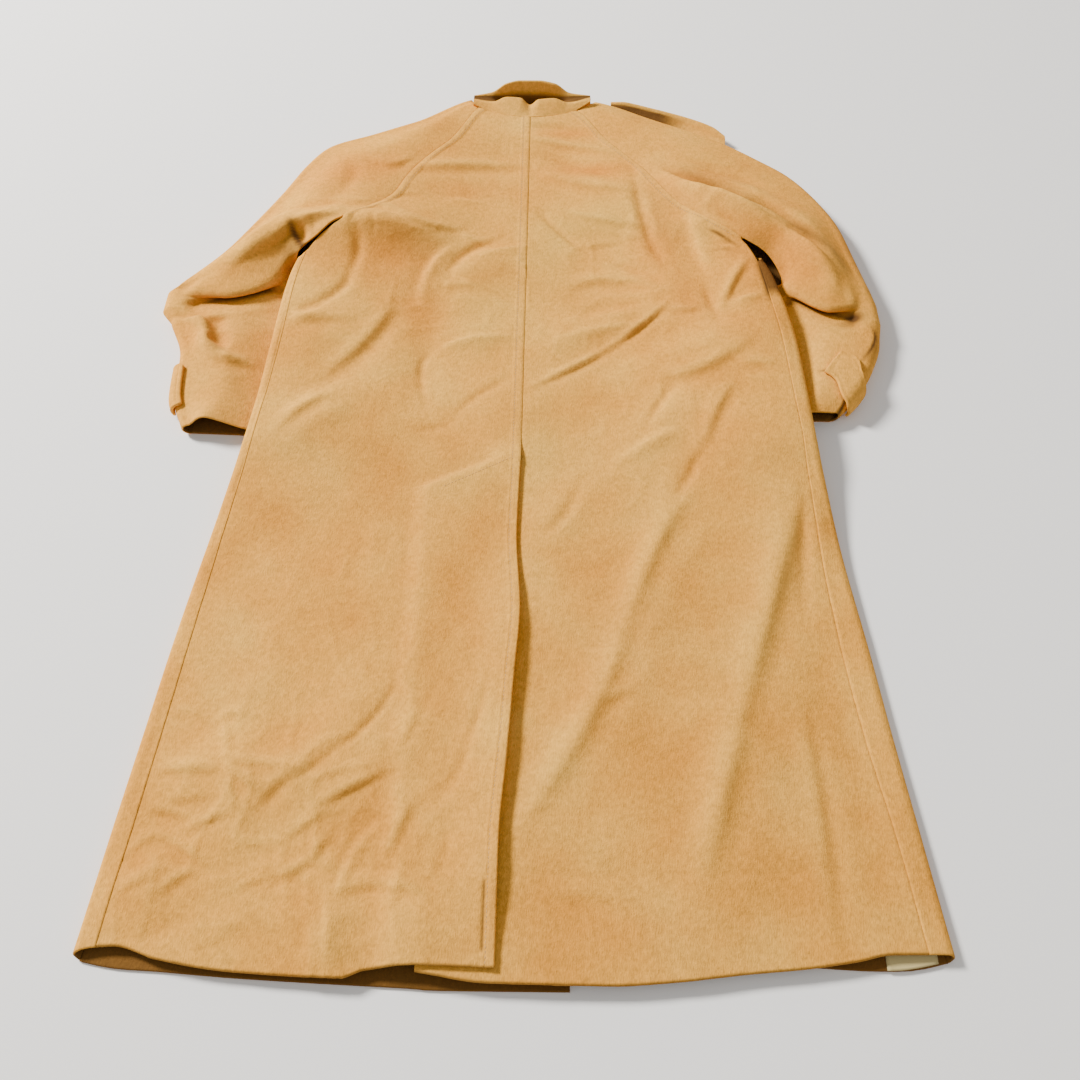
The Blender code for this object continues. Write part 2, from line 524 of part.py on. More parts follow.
def front_panel(side):
    """A front panel, flat on the floor and turned round the side of the body."""
    raglan_ups = raglan_rows(side)
    low = body_rows()
    low = low[low <= WRAP_END]
    drawn_ups = steps([WRAP_END, raglan_ups[0]], 1.3)[1:-1]
    rings = [wrapped_ring(side, up) for up in np.concatenate([low, drawn_ups])]
    rings += [raglan_ring(side, up) for up in raglan_ups[raglan_ups <= FRONT_NECK_TOP]]
    grid = np.array(rings)
    if side == "right":
        over = ease((FRONT_OVERLAP + FRONT_STEP - grid[:, :3, 0]) / FRONT_STEP)
        grid[:, :3, 2] += (CLOTH + LAYER_GAP) * over
        grid = grid[:, ::-1]
    normals = outward(grid)
    edge = upright(normals)
    free, seam = (0, -1) if side == "left" else (-1, 0)
    normals[:, free] = edge[:, free]
    flat_or_wrapped = (grid[:, seam, 2] < 0.01) | (np.arange(len(grid)) < len(low))
    normals[flat_or_wrapped, seam] = edge[flat_or_wrapped, seam]
    normals[0] = unit(normals[0] * np.array([1, 0, 1]))
    return wall("front_" + side, grid, -normals, CLOTH, CAMEL_SHADE)


def sleeve_sections(side, ats):
    """Inner end, brow, crest and outer point of the sleeve's upper side at each place."""
    sleeve = SLEEVES[side]
    sections = []
    for mark in ("in", "brow", "crest", "out"):
        x, y, z = (along(sleeve, mark + axis, ats) for axis in ("_x", "_y", "_z"))
        if mark == "in":
            y = np.where(ats >= raglan_rows(side)[0], ats, y)
        sections.append(np.stack([x, y + neck_rise(x, ats), z], -1))
    return np.stack(sections, 1)


def across_sections(sections, shares):
    """Points across each section, on a smooth curve through its four named points."""
    marks = {"share": np.array([0.0, 1.0, 2.0, 3.0])}
    rows = []
    for section in sections:
        curve = [along({**marks, "v": section[:, axis]}, "v", shares) for axis in range(3)]
        rows.append(np.stack(curve, -1))
    return np.array(rows)


def sleeve_ats(side):
    """Places of the sections down a sleeve: the upper arm, the pleat and the forearm."""
    last = SLEEVES[side]["at"][-1]
    arm = steps([raglan_rows(side)[0], PLEAT_AT + 3.0], 1.5)[1:]
    pleat = PLEAT_AT - PLEAT["even"]
    fore = steps([PLEAT_AT - 3.0, 72.0, last], 2.6)
    return np.concatenate([raglan_rows(side)[::-1], arm]), pleat, fore


def sleeve_top_grid(side, shares):
    """Outer face of the back panel of a sleeve, with the pleat at the elbow."""
    arm, pleat, fore = sleeve_ats(side)
    upper = across_sections(sleeve_sections(side, arm), shares)
    upper[..., 2] += fold_height(upper[..., 0], upper[..., 1]) * fold_share(arm[:, None], shares)
    lip = across_sections(sleeve_sections(side, np.array([PLEAT_AT])), shares)[0]
    depth = pleat_depth(shares)
    rings = []
    for forward, rise, even in zip(PLEAT["forward"], PLEAT["rise"], PLEAT["even"]):
        ring = lip.copy()
        ring[:, 1] -= mix(even, forward, depth)
        ring[:, 2] += rise * ease(depth / PLEAT_PART)
        rings.append(ring)
    lower = across_sections(sleeve_sections(side, fore), shares)
    return np.concatenate([upper, np.array(rings), lower])


def pleat_depth(shares):
    """The pleat is deepest by the body and dies out at the elbow's outer edge."""
    deep = mix(0.1, 1, ease((shares - PLEAT_START) / PLEAT_GROW))
    return deep * (1 - ease((shares - PLEAT_DIES) / (3 - PLEAT_DIES)))


def fold_share(ats, shares):
    """The broad folds die out before the elbow and before the sleeve's outer edge."""
    return (1 - ease((shares - 2.2) / 0.8)) * ease((ats - PLEAT_AT - 1.0) / 5.0)


def sleeve_back(side):
    """The upper side of a sleeve, carried round its outer edge to the floor."""
    sign = -1 if side == "left" else 1
    shares = np.array([0, 0.22, 0.44, 0.7, 1.0, 1.35, 1.7, 2.0, 2.25, 2.5, 2.75, 3.0])
    grid = sleeve_top_grid(side, shares)
    grid[:, 0, 0] += sign * SEAM_GAP / 2
    headings = outer_heading(side, np.concatenate(sleeve_ats(side)))
    turned = outer_round(grid[:, -1], headings, np.radians([58, 25, -8, -42, -90]))
    grid = np.concatenate([grid, turned], 1)
    if side == "right":
        grid = grid[:, ::-1]
    normals = outward(grid)
    edge = upright(normals)
    inner, outer = (0, -1) if side == "left" else (-1, 0)
    raglan_count = len(raglan_rows(side))
    normals[:raglan_count, inner] = edge[:raglan_count, inner]
    normals[:, outer] = (0, 0, -1)
    return wall("sleeve_" + side + "_back", grid, -normals, CLOTH, CAMEL)


def outer_heading(side, ats):
    """Which way the sleeve's outer edge faces at each section, seen from above."""
    sections = sleeve_sections(side, ats)
    return unit(sections[:, 3, :2] - sections[:, 2, :2])


def outer_round(outer, headings, angles):
    """Rings that carry the sleeve's upper side round its outer edge to the floor."""
    rings = []
    for angle in angles:
        wide = SLEEVE_ROUND * outer[:, 2]
        ring = outer.copy()
        ring[:, :2] += headings * (wide * np.cos(angle))[:, None]
        ring[:, 2] = outer[:, 2] / 2 * (1 + np.sin(angle))
        rings.append(ring)
    return np.stack(rings, 1)


def sleeve_front(side):
    """The front panel lies flat on the floor under the back panel of the sleeve."""
    sign = -1 if side == "left" else 1
    sleeve = SLEEVES[side]
    ats = np.concatenate(sleeve_ats(side))
    inner = np.stack([along(sleeve, "floor_x", ats), along(sleeve, "floor_y", ats)], -1)
    inner[:, 0] += sign * SEAM_GAP / 2
    outer = sleeve_top_grid(side, np.array([2.0, 3.0]))[:, -1, :2]
    outer = outer - outer_heading(side, ats) * SEAM_GAP
    share = np.linspace(0, 1, 5)[None, :, None]
    grid = mix(inner[:, None], outer[:, None], share)
    grid = np.concatenate([grid, np.zeros_like(grid[..., :1])], -1)
    down = np.zeros_like(grid)
    down[..., 2] = -1
    if side == "left":
        grid = grid[:, ::-1]
    return wall("sleeve_" + side + "_front", grid, -down, CLOTH, CAMEL_SHADE)


def sleeve_surface(side, at, share):
    """A point of the sleeve's outer face and its normal; share 3 to 4 is the outer round."""
    step = 0.05
    points = []
    for shift_at, shift_share in ((0, 0), (step, 0), (0, step)):
        here = at + shift_at
        part = share + shift_share
        section = sleeve_sections(side, np.array([here, here]))
        flat = across_sections(section, np.array([min(part, 3.0)]))[:1, 0]
        if part <= 3.0:
            points.append(flat[0])
        else:
            angle = np.radians(90 - 180 * (part - 3.0))
            points.append(outer_round(flat, outer_heading(side, np.array([here])), [angle])[0, 0])
    place, further_at, further_share = points
    normal = unit(np.cross(further_share - place, further_at - place))
    return place, normal if side == "right" else -normal


def cuff_strap(side):
    """The tab round the cuff, made from the sleeve's own points, moved out."""
    grid, normals = [], []
    straps = STRAP_LEFT if side == "left" else STRAP_RIGHT
    for place in np.linspace(0, straps["row"][-1], 9):
        row, lean = [], []
        for across in np.linspace(0, 1, 4):
            at = mix(along(straps, "low_at", place), along(straps, "high_at", place), across)
            share = mix(along(straps, "low_across", place), along(straps, "high_across", place), across)
            point, normal = sleeve_surface(side, at, share)
            stand = float(along(straps, "stand", place)) + STRAP_CLOTH
            row.append(point + normal * stand)
            lean.append(normal)
        grid.append(row)
        normals.append(lean)
    grid, normals = np.array(grid), np.array(normals)
    return wall("cuff_strap_" + side, grid, -normals, STRAP_CLOTH, CAMEL)


def collar_piece(name, sections, longest):
    """A stretch of the collar, from its neck seam over the roll to its outer edge."""
    places = steps([sections["across"][0], sections["across"][-1]], longest)
    shares = np.linspace(0, 3, 10)
    rows = []
    for place in places:
        up = np.array([along(sections, mark + "_up", place) for mark in COLLAR_MARKS])
        high = np.array([along(sections, mark + "_high", place) for mark in COLLAR_MARKS])
        share = {"share": np.arange(4.0), "up": up, "high": high}
        x = np.full(shares.shape, place)
        rows.append(np.stack([x, along(share, "up", shares), along(share, "high", shares)], -1))
    grid = np.array(rows)[::-1]
    return wall(name, grid, -outward(grid), COLLAR_CLOTH, CAMEL)


def lining_strip(side):
    """The edge of the lining, which shows under the hem of the back."""
    span = LINING_SPAN[side]
    x = steps(span, 2.0)
    hem = HEM_LEFT if side == "left" else HEM_RIGHT
    low = along(hem, "front", x) + LINING_ABOVE_HEM
    high = np.full_like(x, CLOTH + SEAM_GAP + LINING_CLOTH)
    grid = np.array([np.stack([x, low + rise, high], -1) for rise in LINING_ROWS])
    up = np.zeros_like(grid)
    up[..., 2] = 1
    return wall("lining_" + side, grid, -up, LINING_CLOTH, LINING_CREAM)


def clear_old():
    """Empty the scene."""
    for old in list(bpy.data.objects):
        bpy.data.objects.remove(old, do_unlink=True)


def main():
    clear_old()
    for side in ("left", "right"):
        back_panel(side)
        front_panel(side)
        sleeve_back(side)
        sleeve_front(side)
        cuff_strap(side)
        lining_strip(side)
    collar_piece("collar", COLLAR, 1.2)
    collar_piece("collar_end_right", COLLAR_END, 1.6)


main()
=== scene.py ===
"""Looks for a long camel wool overcoat that lies flat on its front with the back up.

The shapes are drawn in centimetres: across (x) from the centre-back seam, up (y) from the
hem to the neck and high (z) above the floor.  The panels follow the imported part's tables,
with some rows moved, on finer grids that have the creases, welts and stitching as well.
"""

import math

import bpy
import numpy as np
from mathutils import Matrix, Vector


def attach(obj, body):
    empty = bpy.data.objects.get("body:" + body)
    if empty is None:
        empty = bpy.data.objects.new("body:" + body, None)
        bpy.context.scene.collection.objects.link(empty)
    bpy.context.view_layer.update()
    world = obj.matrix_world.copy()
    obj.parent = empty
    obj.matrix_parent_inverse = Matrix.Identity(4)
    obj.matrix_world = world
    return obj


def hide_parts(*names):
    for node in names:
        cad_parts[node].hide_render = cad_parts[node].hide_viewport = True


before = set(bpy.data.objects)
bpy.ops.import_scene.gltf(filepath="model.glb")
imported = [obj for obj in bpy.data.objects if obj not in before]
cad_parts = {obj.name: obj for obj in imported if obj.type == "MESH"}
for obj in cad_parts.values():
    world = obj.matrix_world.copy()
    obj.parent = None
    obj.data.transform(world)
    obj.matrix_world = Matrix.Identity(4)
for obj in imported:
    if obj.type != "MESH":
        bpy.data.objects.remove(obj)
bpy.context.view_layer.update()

bl_info = {
    "name": "Camel Overcoat",
    "version": (1, 0, 0),
    "blender": (4, 5, 0),
    "location": "3D View > Sidebar > Overcoat",
    "description": "Builds a wool overcoat that lies flat with its back up",
    "category": "Add Mesh",
}

# Driving sizes, cm
CM = 0.01  # metres in a centimetre
BACK_LENGTH = 113.8
REST_UP = 58.0  # height of the frame's origin above the hem line
CLOTH = 0.30
SEAM_GAP = 0.002
LAYER_GAP = 0.15
SIDES = {"left": -1, "right": 1}  # which way each side lies from the centre back seam
UNDERARM = {"left": 89.8, "right": 88.6}
WRAP_END = 84.0
VENT_TOP = 53.0
VENT_SLANT = 4.0
VENT_LIFT = 0.65  # the vent edge stands up off the underlap in its lower part
VENT_LIFT_WIDE = 6.0
VENT_STITCH = 0.85  # from the vent edge to its row of stitches
VENT_SLIT = (1.15, 0.12, 1.0, 6.6)  # a cut line: off the vent edge, width, lower and upper end
VENT_STRIP = 8.4  # width along the vent edge where slanted stitches end and the hem is thin
LAP_ROW = VENT_TOP + 3.2
UNDERLAP = 8.0
UNDERLAP_STEP = 2.4
UNDERLAP_EASE = 2.0
HEM_TURN = 4.6  # the cloth is thicker below this, for its turned-up hem
HEM_EXTRA = 0.22  # what the turned-up hem adds to the cloth
HEM_LINE = 7.2  # height of a faint dip that follows the hem
HEM_BLEND = 12.0
RIM = 0.16  # width of the round of a free edge
RIM_DEEP = 0.85  # share of half the cloth's thickness that it takes off
HOLLOW_FULL = 0.22  # height over the surroundings that counts as fully raised
HOLLOW_MOST = 1.3
FRONT_OVERLAP = 5.6
FRONT_STEP = 2.8
FRONT_TAIL = 1.8
FRONT_NECK_DROP = 5.0
FRONT_SPREAD = 12.0
FRONT_DROP_START = 92.0
FRONT_NECK_TOP = 107.5
NECK_HALF = 8.0
NECK_RISE = 2.05
NECK_CURVE_START = 108.0
FLAT_SHARE = 0.25
EDGE_ROUND = 0.9
SLEEVE_ROUND = 0.55
COLLAR_CLOTH = 0.45
STRAP_CLOTH = 0.40
STRAP_STITCH = 0.6  # from a tab's edge to its row of stitches
LINING_CLOTH = 0.10
LINING_UP = 5.0

# Lengths of the cells of the finer grids, cm
BACK_STEP = 0.34
BACK_COLUMN_STEPS = {"left": 0.34, "right": 0.41}
FRONT_STEP_UP = 0.8
SLEEVE_STEP = 0.4
COLLAR_STEP = 0.3

# How dark the wool looks where little light reaches it, from 0 to 1, and where that is
HEM_DARK = 0.5
INSIDE_DARK = 0.9
LIP_DARK = 0.85
COLLAR_DARK = 0.95
HEM_LIT, HEM_FADE = 14.0, 8.0  # the inner face is dark up to here above the hem, and fades
CUFF_LIT, CUFF_FADE = 8.0, 4.0  # the same above the cuff
FRONT_DARK_FROM = {"left": 85.5, "right": 77.5}  # above this a front lies in the sleeve's shade

# The stage, in metres, watts, millimetres of lens and degrees
FLOOR_HALF = 6.0
KEY = {"place": (-3.7, 2.3, 2.9), "size": 1.1, "power": 700.0, "colour": (1.0, 0.98, 0.95)}
FILL = {"place": (1.2, -1.6, 2.2), "size": 2.4, "power": 8.0, "colour": (1.0, 0.99, 0.97)}
SKY_COLOUR, SKY_STRENGTH = (1.0, 0.99, 0.98, 1.0), 0.5
CAMERA_PLACE, CAMERA_TILT, CAMERA_TURN = (0.0315, -0.738, 0.953), 58.3, 0.77
CAMERA_LENS, CAMERA_SENSOR = 33.333, 36.0


def table(columns, *rows):
    """Turn rows of numbers into columns that have names."""
    names = columns.split()
    return {name: np.array([row[i] for row in rows], float) for i, name in enumerate(names)}


BODY = table(
    "up  edge_left edge_right seam_left seam_right  mid_high seam_high_left seam_high_right"
    "  lift_left lift_right",
    (0, -38.5, 39.7, -36.4, 37.3, 1.35, 1.15, 1.15, 0, 0),
    (10, -37.6, 38.7, -35.5, 36.2, 1.40, 1.10, 1.10, 0, 0),
    (20, -36.7, 37.7, -34.7, 34.8, 1.40, 1.10, 1.10, 0, 0),
    (30, -35.8, 36.8, -33.9, 33.8, 1.40, 1.10, 1.15, 0, 0),
    (40, -34.6, 35.7, -33.0, 33.2, 1.40, 1.30, 1.35, 0.15, 0.15),
    (51, -32.9, 34.7, -31.6, 32.8, 1.45, 2.50, 2.60, 1.2, 1.3),
    (56, -32.2, 34.3, -31.0, 32.6, 1.45, 3.10, 3.40, 1.8, 2.1),
    (62, -31.7, 34.1, -30.5, 32.3, 1.50, 3.20, 3.55, 1.9, 2.3),
    (70, -31.4, 33.8, -30.1, 31.9, 1.50, 3.20, 3.55, 1.9, 2.3),
    (77, -31.1, 33.0, -29.8, 31.2, 1.60, 3.30, 3.55, 2.0, 2.3),
    (81, -30.7, 32.2, -29.5, 30.7, 1.65, 3.45, 3.60, 2.1, 2.3),
    (84, -30.1, 31.5, -29.0, 30.2, 1.70, 3.70, 3.50, 1.3, 1.3),
    (86.5, -28.9, 30.7, -27.7, 29.4, 1.75, 4.30, 3.40, 0, 0),
    (90, -25.3, 28.8, -24.0, 27.6, 1.80, 5.20, 3.50, 0, 0),
    (93, -23.9, 26.6, -22.4, 25.2, 1.90, 5.00, 3.60, 0, 0),
    (114, -23.9, 26.6, -22.4, 25.2, 3.30, 5.00, 3.60, 0, 0),
)
TUCK_START = {"left": -22.5, "right": 21.5}
HEM_LEFT = table(
    "across back front",
    (-38.5, -0.9, -1.3),
    (-36.6, -0.5, -1.9),
    (-34.8, -0.4, -2.1),
    (-31.0, -1.4, -2.3),
    (-25.0, -2.3, -2.7),
    (-18.0, -2.7, -3.0),
    (-14.5, -2.8, -3.3),
    (-12.4, -2.1, -3.3),
    (-8.0, -1.7, -3.4),
    (0.0, -1.9, -3.9),
    (5.6, -2.4, -3.5),
)
HEM_RIGHT = table(
    "across back front",
    (-8.0, -2.2, -2.0),
    (-1.5, -3.0, -2.4),
    (9.0, -3.1, -2.4),
    (15.0, -2.7, -2.1),
    (21.0, -2.0, -1.6),
    (27.0, -1.4, -1.2),
    (31.0, -0.8, -1.4),
    (34.0, -0.2, -1.5),
    (39.7, -0.1, -0.6),
)
HEMS = {"left": HEM_LEFT, "right": HEM_RIGHT}
VENT_EDGE = table(
    "up across", (0, -1.0), (9, -1.0), (17, -0.5), (26, 0.0), (33, 0.4), (43, -0.2), (53, 0.0)
)
SLEEVE_LEFT = table(
    "at  in_x in_y in_z  brow_x brow_y brow_z  crest_x crest_y crest_z  out_x out_y out_z  floor_x floor_y",
    (113.8, -7.7, 113.8, 3.3, -8.0, 114.5, 3.3, -8.3, 115.2, 3.2, -8.6, 115.9, 2.8, -8.8, 112.5),
    (109.0, -11.1, 109.0, 3.1, -12.0, 110.2, 3.2, -13.4, 112.0, 3.4, -15.0, 113.4, 2.8, -12.0, 108.0),
    (104.3, -14.9, 104.3, 3.2, -16.2, 105.7, 3.4, -18.4, 107.6, 3.6, -22.0, 110.0, 2.8, -15.2, 103.5),
    (100.4, -17.1, 100.4, 3.3, -19.2, 102.3, 3.6, -22.6, 104.6, 3.8, -27.8, 107.2, 2.8, -17.6, 99.8),
    (97.0, -18.4, 97.0, 3.6, -20.8, 99.2, 3.8, -25.0, 101.6, 4.0, -30.4, 103.4, 2.8, -19.6, 96.6),
    (93.2, -21.2, 93.2, 4.3, -23.4, 94.9, 4.4, -27.8, 96.6, 4.4, -32.8, 97.6, 2.9, -22.4, 92.8),
    (89.8, -24.2, 89.8, 5.2, -26.2, 91.1, 5.2, -30.2, 92.2, 4.8, -35.4, 92.2, 3.0, -26.4, 89.4),
    (87.0, -25.7, 88.8, 5.2, -28.6, 89.6, 5.5, -33.4, 88.9, 5.3, -39.0, 86.0, 3.1, -28.8, 87.9),
    (84.0, -27.5, 87.0, 4.75, -30.4, 87.6, 4.8, -35.4, 86.0, 5.0, -42.2, 81.8, 3.1, -31.4, 85.4),
    (81.0, -29.9, 84.9, 3.6, -32.2, 84.6, 3.4, -36.9, 82.2, 4.0, -43.9, 79.6, 3.0, -31.0, 82.4),
    (78.0, -30.6, 82.4, 1.3, -33.0, 79.5, 2.4, -38.6, 77.2, 2.8, -44.9, 77.2, 2.7, -29.2, 80.2),
    (74.0, -27.9, 76.5, 0.7, -31.8, 76.0, 1.1, -37.6, 74.0, 2.3, -43.4, 73.2, 2.2, -27.6, 75.6),
    (68.0, -27.6, 69.5, 0.7, -31.6, 69.3, 1.1, -37.0, 69.0, 2.5, -41.7, 68.6, 2.1, -27.4, 69.5),
    (62.0, -27.7, 62.5, 0.7, -31.6, 62.5, 1.1, -36.8, 62.4, 2.4, -41.2, 62.0, 2.0, -27.5, 62.5),
    (57.0, -28.2, 57.4, 0.7, -31.8, 57.3, 1.0, -37.4, 57.7, 3.0, -39.5, 57.4, 1.8, -28.0, 57.0),
)
SLEEVE_RIGHT = table(
    "at  in_x in_y in_z  brow_x brow_y brow_z  crest_x crest_y crest_z  out_x out_y out_z  floor_x floor_y",
    (113.8, 6.8, 113.8, 3.3, 7.6, 114.3, 3.3, 8.4, 115.0, 3.2, 9.2, 115.8, 2.8, 8.4, 112.5),
    (109.3, 10.6, 109.3, 3.2, 12.0, 110.8, 3.3, 14.0, 112.6, 3.3, 17.0, 114.0, 2.7, 11.6, 108.4),
    (106.3, 13.1, 106.3, 3.3, 15.0, 108.0, 3.5, 18.0, 110.0, 3.5, 22.4, 111.6, 2.7, 14.0, 105.6),
    (103.2, 15.5, 103.2, 3.5, 18.0, 104.8, 3.8, 21.8, 107.0, 3.7, 27.2, 108.8, 2.7, 16.6, 102.6),
    (100.0, 17.3, 100.0, 3.8, 20.6, 101.2, 4.2, 25.4, 103.6, 3.8, 31.4, 105.4, 2.8, 18.6, 99.6),
    (96.0, 19.9, 96.0, 4.0, 23.4, 96.8, 4.7, 28.8, 99.2, 4.0, 35.4, 101.6, 2.9, 21.4, 95.6),
    (92.0, 24.0, 92.0, 4.0, 27.2, 93.2, 5.0, 32.2, 95.6, 4.3, 38.6, 96.6, 3.0, 26.4, 91.6),
    (88.6, 28.4, 88.6, 3.5, 30.8, 89.6, 4.7, 35.6, 91.0, 4.6, 40.6, 91.6, 3.1, 30.2, 88.0),
    (85.0, 32.0, 86.2, 2.4, 33.4, 86.8, 4.0, 37.8, 86.6, 4.7, 41.6, 86.4, 3.2, 31.7, 85.4),
    (82.0, 33.6, 83.0, 1.3, 34.4, 83.0, 3.4, 38.8, 82.4, 4.5, 42.6, 81.6, 3.2, 32.3, 82.4),
    (78.0, 32.6, 80.2, 1.1, 34.6, 78.4, 2.5, 38.8, 75.7, 2.8, 43.6, 76.0, 2.8, 31.0, 79.2),
    (74.0, 28.4, 74.8, 0.7, 33.8, 74.4, 1.2, 38.8, 72.4, 2.4, 43.2, 71.6, 2.5, 27.6, 74.6),
    (69.0, 27.6, 69.6, 0.7, 33.2, 69.4, 1.3, 37.8, 68.6, 2.5, 41.8, 67.6, 2.4, 27.0, 69.6),
    (64.0, 27.0, 64.8, 0.7, 32.6, 64.6, 1.3, 36.4, 64.2, 2.5, 39.4, 63.4, 2.3, 26.6, 64.8),
    (59.4, 26.8, 60.4, 0.7, 31.6, 60.2, 1.2, 34.6, 60.0, 2.3, 37.0, 60.2, 1.9, 26.6, 60.4),
)
SLEEVES = {"left": SLEEVE_LEFT, "right": SLEEVE_RIGHT}
PLEAT_AT = 78.0
PLEAT_REACH = 3.0  # the pleat takes up the sleeve this far above and below it
PLEAT_START = 0.3
PLEAT_GROW = 1.2
PLEAT_DIES = 1.8
PLEAT_PART = 0.3
PLEAT = table(
    "ring forward rise even",
    (0, -1.05, 0.62, -1.60),
    (1, -0.4, 0.42, -1.15),
    (2, 0.0, 0.00, -0.70),
    (3, -0.4, -0.40, -0.25),
    (4, -1.3, -0.46, 0.20),
    (5, -1.65, -0.70, 0.65),
    (6, -1.3, -0.98, 1.10),
    (7, 0.4, -0.80, 1.55),
)
LAST_RING = 7.0
CUFF_ROWS = np.array([0.6, 0.42, 0.28, 0.18, 0.1, 0.05, 0.0])  # rows near the cuff's edge, off it
JOIN_ROWS = {"above": 5, "below": 4}  # rows between the pleat's rings and the rest of the sleeve
# Broad folds: a soft ridge between two points, or a trough where high is below zero
FOLDS = table(
    "x0 y0  x1 y1  wide high",
    (-24.0, 90.2, -9.0, 88.5, 2.6, 0.9),
    (-21.0, 94.0, -9.5, 98.0, 3.0, -0.5),
    (-10.0, 83.0, -0.8, 87.0, 2.6, 0.5),
    (-12.0, 80.5, -12.5, 61.0, 2.6, -0.35),
    (-9.0, 71.5, -0.5, 72.5, 2.4, 0.45),
    (-17.0, 74.0, -26.0, 62.0, 3.0, -0.45),
    (-21.0, 62.0, -28.0, 54.5, 2.6, 0.50),
    (-2.5, 46.0, -8.0, 26.0, 3.2, -0.20),
    (-33.0, 15.5, -28.0, 15.4, 2.4, 0.40),
    (-27.0, 22.0, -26.0, 9.5, 2.6, 0.50),
    (-26.0, 16.0, -19.0, 15.5, 2.4, 0.45),
    (-13.0, 25.0, -24.0, 12.0, 2.8, 0.45),
    (-10.0, 20.5, -20.0, 10.5, 2.4, 0.40),
    (-16.0, 4.0, -16.0, -2.0, 2.0, 0.45),
    (-6.5, -1.5, -9.5, 4.0, 2.4, 0.45),
    (-34.5, 3.0, -31.0, 7.5, 2.6, 0.45),
    (1.5, 103.0, 12.5, 97.5, 2.8, 0.6),
    (5.0, 94.5, 13.0, 91.5, 2.6, 0.5),
    (16.5, 104.0, 24.0, 78.0, 3.0, -0.7),
    (17.0, 101.0, 25.0, 96.2, 2.2, 0.9),
    (25.0, 96.2, 35.0, 89.0, 2.4, 1.1),
    (35.0, 89.0, 43.0, 77.5, 2.4, 0.9),
    (1.5, 70.0, 18.0, 79.0, 2.8, 0.55),
    (14.0, 67.0, 29.0, 72.0, 2.8, 0.45),
    (12.0, 52.5, 23.0, 66.0, 3.4, 0.40),
    (8.0, 50.5, 1.5, 41.0, 2.8, 0.35),
    (17.5, 46.0, 11.5, 28.0, 3.0, 0.50),
    (11.5, 28.0, 0.8, 8.0, 3.0, 0.45),
    (30.0, 47.5, 25.0, 30.0, 3.2, 0.50),
    (25.0, 30.0, 18.0, 3.5, 3.2, 0.50),
    (32.0, 29.5, 34.5, 3.0, 2.4, -0.30),
)
COLLAR = table(
    "across seam_up seam_high roll_up roll_high valley_up valley_high edge_up edge_high",
    (-8.4, 116.1, 3.85, 116.8, 3.95, 117.4, 3.9, 118.0, 3.95),
    (-5.8, 114.93, 3.3, 116.3, 3.8, 117.4, 3.6, 118.4, 4.2),
    (-3.5, 114.25, 3.3, 116.8, 4.4, 118.0, 2.2, 118.9, 5.2),
    (-1.5, 113.92, 3.3, 116.6, 4.4, 118.2, 1.9, 119.3, 5.4),
    (-0.1, 113.86, 3.3, 116.0, 3.6, 118.2, 1.8, 119.3, 5.4),
    (1.2, 113.90, 3.3, 116.5, 4.3, 118.2, 1.8, 119.3, 5.4),
    (3.5, 114.25, 3.3, 116.7, 4.3, 118.0, 2.0, 118.9, 5.2),
    (5.8, 114.93, 3.3, 116.3, 3.8, 117.4, 3.6, 118.4, 4.2),
    (8.8, 116.8, 3.9, 117.3, 3.95, 117.8, 3.95, 118.2, 3.95),
)
COLLAR_END = table(
    "across seam_up seam_high roll_up roll_high valley_up valley_high edge_up edge_high",
    (12.0, 117.92, 0.5, 118.8, 0.9, 119.3, 1.4, 119.7, 1.8),
    (14.5, 116.82, 0.5, 117.8, 0.9, 118.5, 1.6, 119.0, 2.2),
    (18.5, 114.72, 0.5, 116.0, 0.9, 116.9, 1.6, 117.5, 2.2),
    (23.0, 112.41, 0.5, 113.9, 0.9, 115.0, 1.5, 115.8, 2.1),
    (26.8, 110.41, 0.5, 111.9, 0.9, 113.0, 1.4, 113.9, 1.9),
    (28.6, 110.2, 0.5, 111.1, 0.8, 111.8, 1.2, 112.4, 1.5),
)
# Columns of a front panel: in cm beside the other front's edge, then as shares of the rest
FRONT_LAP_COLUMNS = (5.9, 8.6)
FRONT_COLUMNS = np.array([0.3, 0.56, 0.76, 0.9])
COLLAR_MARKS = ("seam", "roll", "valley", "edge")
STRAP_LEFT = table(
    "row low_at low_across high_at high_across stand",
    (0, 60.2, 2.96, 65.6, 3.0, 0.11),
    (1, 60.0, 3.12, 66.0, 3.14, 0.14),
    (2, 60.0, 3.35, 66.0, 3.37, 0.20),
    (3, 60.0, 3.64, 65.8, 3.64, 0.16),
)
STRAP_RIGHT = table(
    "row low_at low_across high_at high_across stand",
    (0, 65.7, 1.90, 70.2, 2.25, 0.10),
    (1, 64.6, 2.35, 69.9, 2.52, 0.18),
    (2, 63.0, 2.68, 68.9, 2.80, 0.26),
    (3, 61.7, 3.05, 66.9, 3.05, 0.30),
    (4, 60.8, 3.30, 65.4, 3.30, 0.26),
    (5, 60.6, 3.60, 64.6, 3.60, 0.20),
)
STRAPS = {"left": STRAP_LEFT, "right": STRAP_RIGHT}
LINING_ABOVE_HEM = {"left": 0.9, "right": 0.12}
LINING_SPAN = {"left": (-29.0, -17.0), "right": (33.6, 38.2)}

